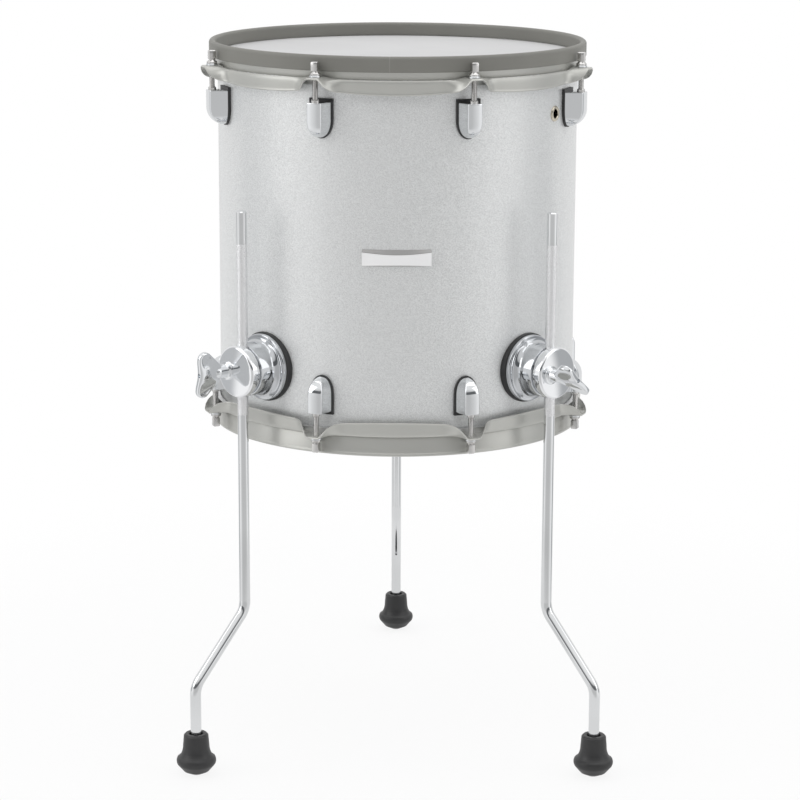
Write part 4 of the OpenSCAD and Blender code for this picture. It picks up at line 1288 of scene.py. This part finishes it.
@dataclass
class Badge:
    """A bare plate curved to the shell, with bevels along its long edges that widen to the middle."""

    finishes: Finishes
    width: float = 65.5
    height: float = 15.7
    thick: float = 2.2
    bevel: float = 2.5
    bevel_rise: float = 2.2
    lower_bevel: float = 0.3
    lower_rise: float = 0.9
    groove: float = 0.5
    level: float = 180.0
    steps: int = 48

    def section(self, across: float) -> list[tuple[float, float, float]]:
        """Section of the plate at a distance along the round of the shell.

        Args:
            across: distance from the plate's middle, in millimetres.

        Returns:
            The section's points, in millimetres.
        """
        angle = across / DRUM.shell_r
        middle_share = math.cos(math.pi * across / self.width)
        half, groove = self.height / 2, self.groove
        top = half - self.bevel - self.bevel_rise * middle_share
        low = -half + self.lower_bevel + self.lower_rise * middle_share
        profile = [
            (0.02, -half), (self.thick * 0.4, -half), (self.thick, low), (self.thick, 0.0), (self.thick, top),
            (self.thick - groove, top + 0.1), (self.thick - groove, top + groove),
            (self.thick - 0.2, top + groove + 0.1), (self.thick * 0.3, half), (0.02, half)]
        middle = DRUM.shell_z + self.level
        return [((DRUM.shell_r + out) * math.sin(angle), DRUM.axis_y - (DRUM.shell_r + out) * math.cos(angle),
                 middle + up) for out, up in profile]

    def build(self) -> list[bpy.types.Object]:
        """Lofts the plate round the shell, with a pale face and grey edges; the grey is painted shade.

        Returns:
            The badge.
        """
        places = [self.width * (i / self.steps - 0.5) for i in range(self.steps + 1)]
        plate = lofted("badge_plate", [self.section(x) for x in places])
        smoothed(plate, 12)
        self.finishes.give(plate, Slot.CHROME)
        plate.data.materials.clear()
        # the edge finish is painted shade on the bevels, which are the same metal as the face
        plate.data.materials.append(self.finishes.badge_edge_shade)
        plate.data.materials.append(self.finishes.satin)
        face = (DRUM.shell_r + self.thick - 0.05) * MM
        for polygon in plate.data.polygons:
            away = Vector((polygon.center.x, polygon.center.y - DRUM.axis_y * MM)).length
            polygon.material_index = 1 if away > face and len(polygon.vertices) == 4 else 0
        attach(plate, "drum")
        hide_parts("badge")
        return [plate]


@dataclass
class Studio:
    """Pale floor, soft lights and the camera at the photograph's place."""

    distance: float = 2678.0
    height: float = 944.5
    aside: float = 3.64
    pitch: float = 12.908
    roll: float = 0.231
    lens: float = 121.14
    front: float = 0.58
    strip: float = 0.95

    def camera(self) -> None:
        """Sets up the camera without shift or depth of field."""
        data = bpy.data.cameras.new("photo_camera")
        data.sensor_width = 36
        data.lens = self.lens
        data.clip_start = 0.1
        data.clip_end = 100
        camera = bpy.data.objects.new("photo_camera", data)
        place = Matrix.Translation((self.aside * MM, (DRUM.axis_y - self.distance) * MM, self.height * MM))
        tilt = Matrix.Rotation(math.radians(90 - self.pitch), 4, "X")
        camera.matrix_world = place @ tilt @ Matrix.Rotation(math.radians(self.roll), 4, "Z")
        bpy.context.scene.collection.objects.link(camera)
        bpy.context.scene.camera = camera

    def room_tone(self, sheet: Sheet, place: bpy.types.NodeSocket) -> bpy.types.NodeSocket:
        """Tone of the room round the drum: grey in front, two pale strips, two flags and white behind.

        Args:
            sheet: tree of the floor or of the world.
            place: a direction from the drum, or a place on the floor.

        Returns:
            The tone's socket.
        """
        parts = sheet.add("ShaderNodeSeparateXYZ")
        sheet.join(place, parts.inputs[0])
        side = sheet.maths("ABSOLUTE", parts.outputs[0])
        turn = sheet.maths("ARCTAN2", side, sheet.maths("MULTIPLY", parts.outputs[1], -1.0))
        strips = sheet.blend(sheet.step(turn, 0.45, 1.2), (self.front,) * 3, (self.strip,) * 3)
        right = sheet.step(parts.outputs[0], -0.1, 0.1)
        flag = sheet.blend(right, (0.50, 0.51, 0.52), (0.42, 0.43, 0.44))
        sides = sheet.blend(sheet.step(turn, 1.46, 1.56), strips, flag)
        return sheet.blend(sheet.step(turn, 1.94, 2.06), sides, (0.84, 0.84, 0.84))

    def floor(self) -> None:
        """Makes the white floor, which keeps a faint shadow, shows pale in the metal and lets a low foot show."""
        deselect()
        bpy.ops.mesh.primitive_plane_add(size=60, location=(0, 20, 0))
        floor = bpy.context.object
        floor.name = "studio_floor"
        bpy.ops.object.transform_apply(location=True)
        material = bpy.data.materials.new("White floor")
        material.use_nodes = True
        material.node_tree.nodes.clear()
        sheet = Sheet(material.node_tree)
        diffuse = sheet.add("ShaderNodeBsdfDiffuse", {"Color": (0.86, 0.86, 0.86, 1)})
        ray = sheet.add("ShaderNodeLightPath")
        away = sheet.add("ShaderNodeVectorMath", operation="LENGTH")
        sheet.join(sheet.place(), away.inputs[0])
        far = sheet.step(away.outputs["Value"], 0.45, 0.9)
        share = sheet.maths("ADD", sheet.maths("MULTIPLY", far, 0.12), 0.88)
        seen = sheet.maths("MULTIPLY", ray.outputs["Is Camera Ray"], share)
        in_metal = sheet.maths("MAXIMUM", ray.outputs["Is Glossy Ray"], ray.outputs["Is Transmission Ray"])
        light = sheet.add("ShaderNodeEmission", {"Strength": 1.0})
        tone = sheet.blend(far, (0.80, 0.80, 0.80), self.room_tone(sheet, sheet.place()))
        sheet.join(tone, light.inputs["Color"])
        lit = sheet.add("ShaderNodeMixShader")
        sheet.join(in_metal, lit.inputs[0])
        sheet.join(diffuse.outputs[0], lit.inputs[1])
        sheet.join(light.outputs[0], lit.inputs[2])
        mix = sheet.add("ShaderNodeMixShader")
        sheet.join(seen, mix.inputs[0])
        sheet.join(lit.outputs[0], mix.inputs[1])
        sheet.join(sheet.add("ShaderNodeBsdfTransparent").outputs[0], mix.inputs[2])
        sheet.join(mix.outputs[0], sheet.add("ShaderNodeOutputMaterial").inputs["Surface"])
        floor.data.materials.append(material)

    def world(self) -> None:
        """Makes the room, with a dim stretch above the camera and a pale ceiling."""
        world = bpy.data.worlds.new("studio_room")
        bpy.context.scene.world = world
        world.use_nodes = True
        world.node_tree.nodes.clear()
        sheet = Sheet(world.node_tree)
        direction = sheet.add("ShaderNodeTexCoord").outputs["Generated"]
        parts = sheet.add("ShaderNodeSeparateXYZ")
        sheet.join(direction, parts.inputs[0])
        walls = self.room_tone(sheet, direction)
        band = sheet.maths("MULTIPLY", sheet.step(parts.outputs[2], 0.14, 0.2),
                           sheet.step(parts.outputs[2], 0.5, 0.42))
        dim = sheet.maths("MULTIPLY", band, sheet.step(parts.outputs[1], -0.35, -0.6))
        walls = sheet.blend(dim, walls, (0.14, 0.145, 0.15))
        room = sheet.blend(sheet.step(parts.outputs[2], 0.45, 0.75), walls, (0.92, 0.92, 0.92))
        seen = sheet.add("ShaderNodeLightPath").outputs["Is Camera Ray"]
        background = sheet.add("ShaderNodeBackground")
        sheet.join(sheet.blend(seen, room, (1.0, 1.0, 1.0)), background.inputs["Color"])
        sheet.join(background.outputs[0], sheet.add("ShaderNodeOutputWorld").inputs["Surface"])

    def lamp(self, name: str, place: tuple[float, float, float], size: tuple[float, float], power: float) -> None:
        """Hangs one soft lamp that faces the drum.

        Args:
            name: the lamp's name.
            place: where it hangs, in metres.
            size: its width and height, in metres.
            power: its power, in watts.
        """
        data = bpy.data.lights.new(name, "AREA")
        data.shape = "RECTANGLE"
        data.size, data.size_y = size
        data.energy = power
        lamp = bpy.data.objects.new(name, data)
        lamp.location = place
        lamp.rotation_euler = (Vector((0, 0, 0.45)) - Vector(place)).to_track_quat("-Z", "Y").to_euler()
        bpy.context.scene.collection.objects.link(lamp)

    def build(self) -> None:
        """Sets up the whole studio and the plain view transform."""
        bpy.context.scene.view_settings.view_transform = "Standard"
        self.camera()
        self.floor()
        self.world()
        self.lamp("softbox_left", (-2.6, -0.9, 1.9), (2.0, 2.2), 17)
        self.lamp("softbox_right", (2.6, -0.7, 1.8), (2.0, 2.2), 9)
        self.lamp("softbox_top", (0.3, 0.2, 3.0), (2.6, 2.6), 14)


def report(pieces: list[bpy.types.Object]) -> None:
    """Logs the name and the face count of each new piece."""
    for piece in pieces:
        log.info("%s: %d faces", piece.name, len(piece.data.polygons))


def main() -> None:
    """Builds the drum's pieces in order."""
    logging.basicConfig(level=logging.INFO, format="%(name)s: %(message)s")
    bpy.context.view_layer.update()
    studio = Studio()
    studio.build()
    finishes = Finishes()
    finishes.dress_frame()
    report(TensionRods(finishes).build())
    report(Hoops(finishes).build())
    report(Lugs(finishes).build())
    report(Badge(finishes).build())
    report(Brackets(finishes).build())
    report(WingBolts(finishes).build())


if __name__ == "__main__":
    main()
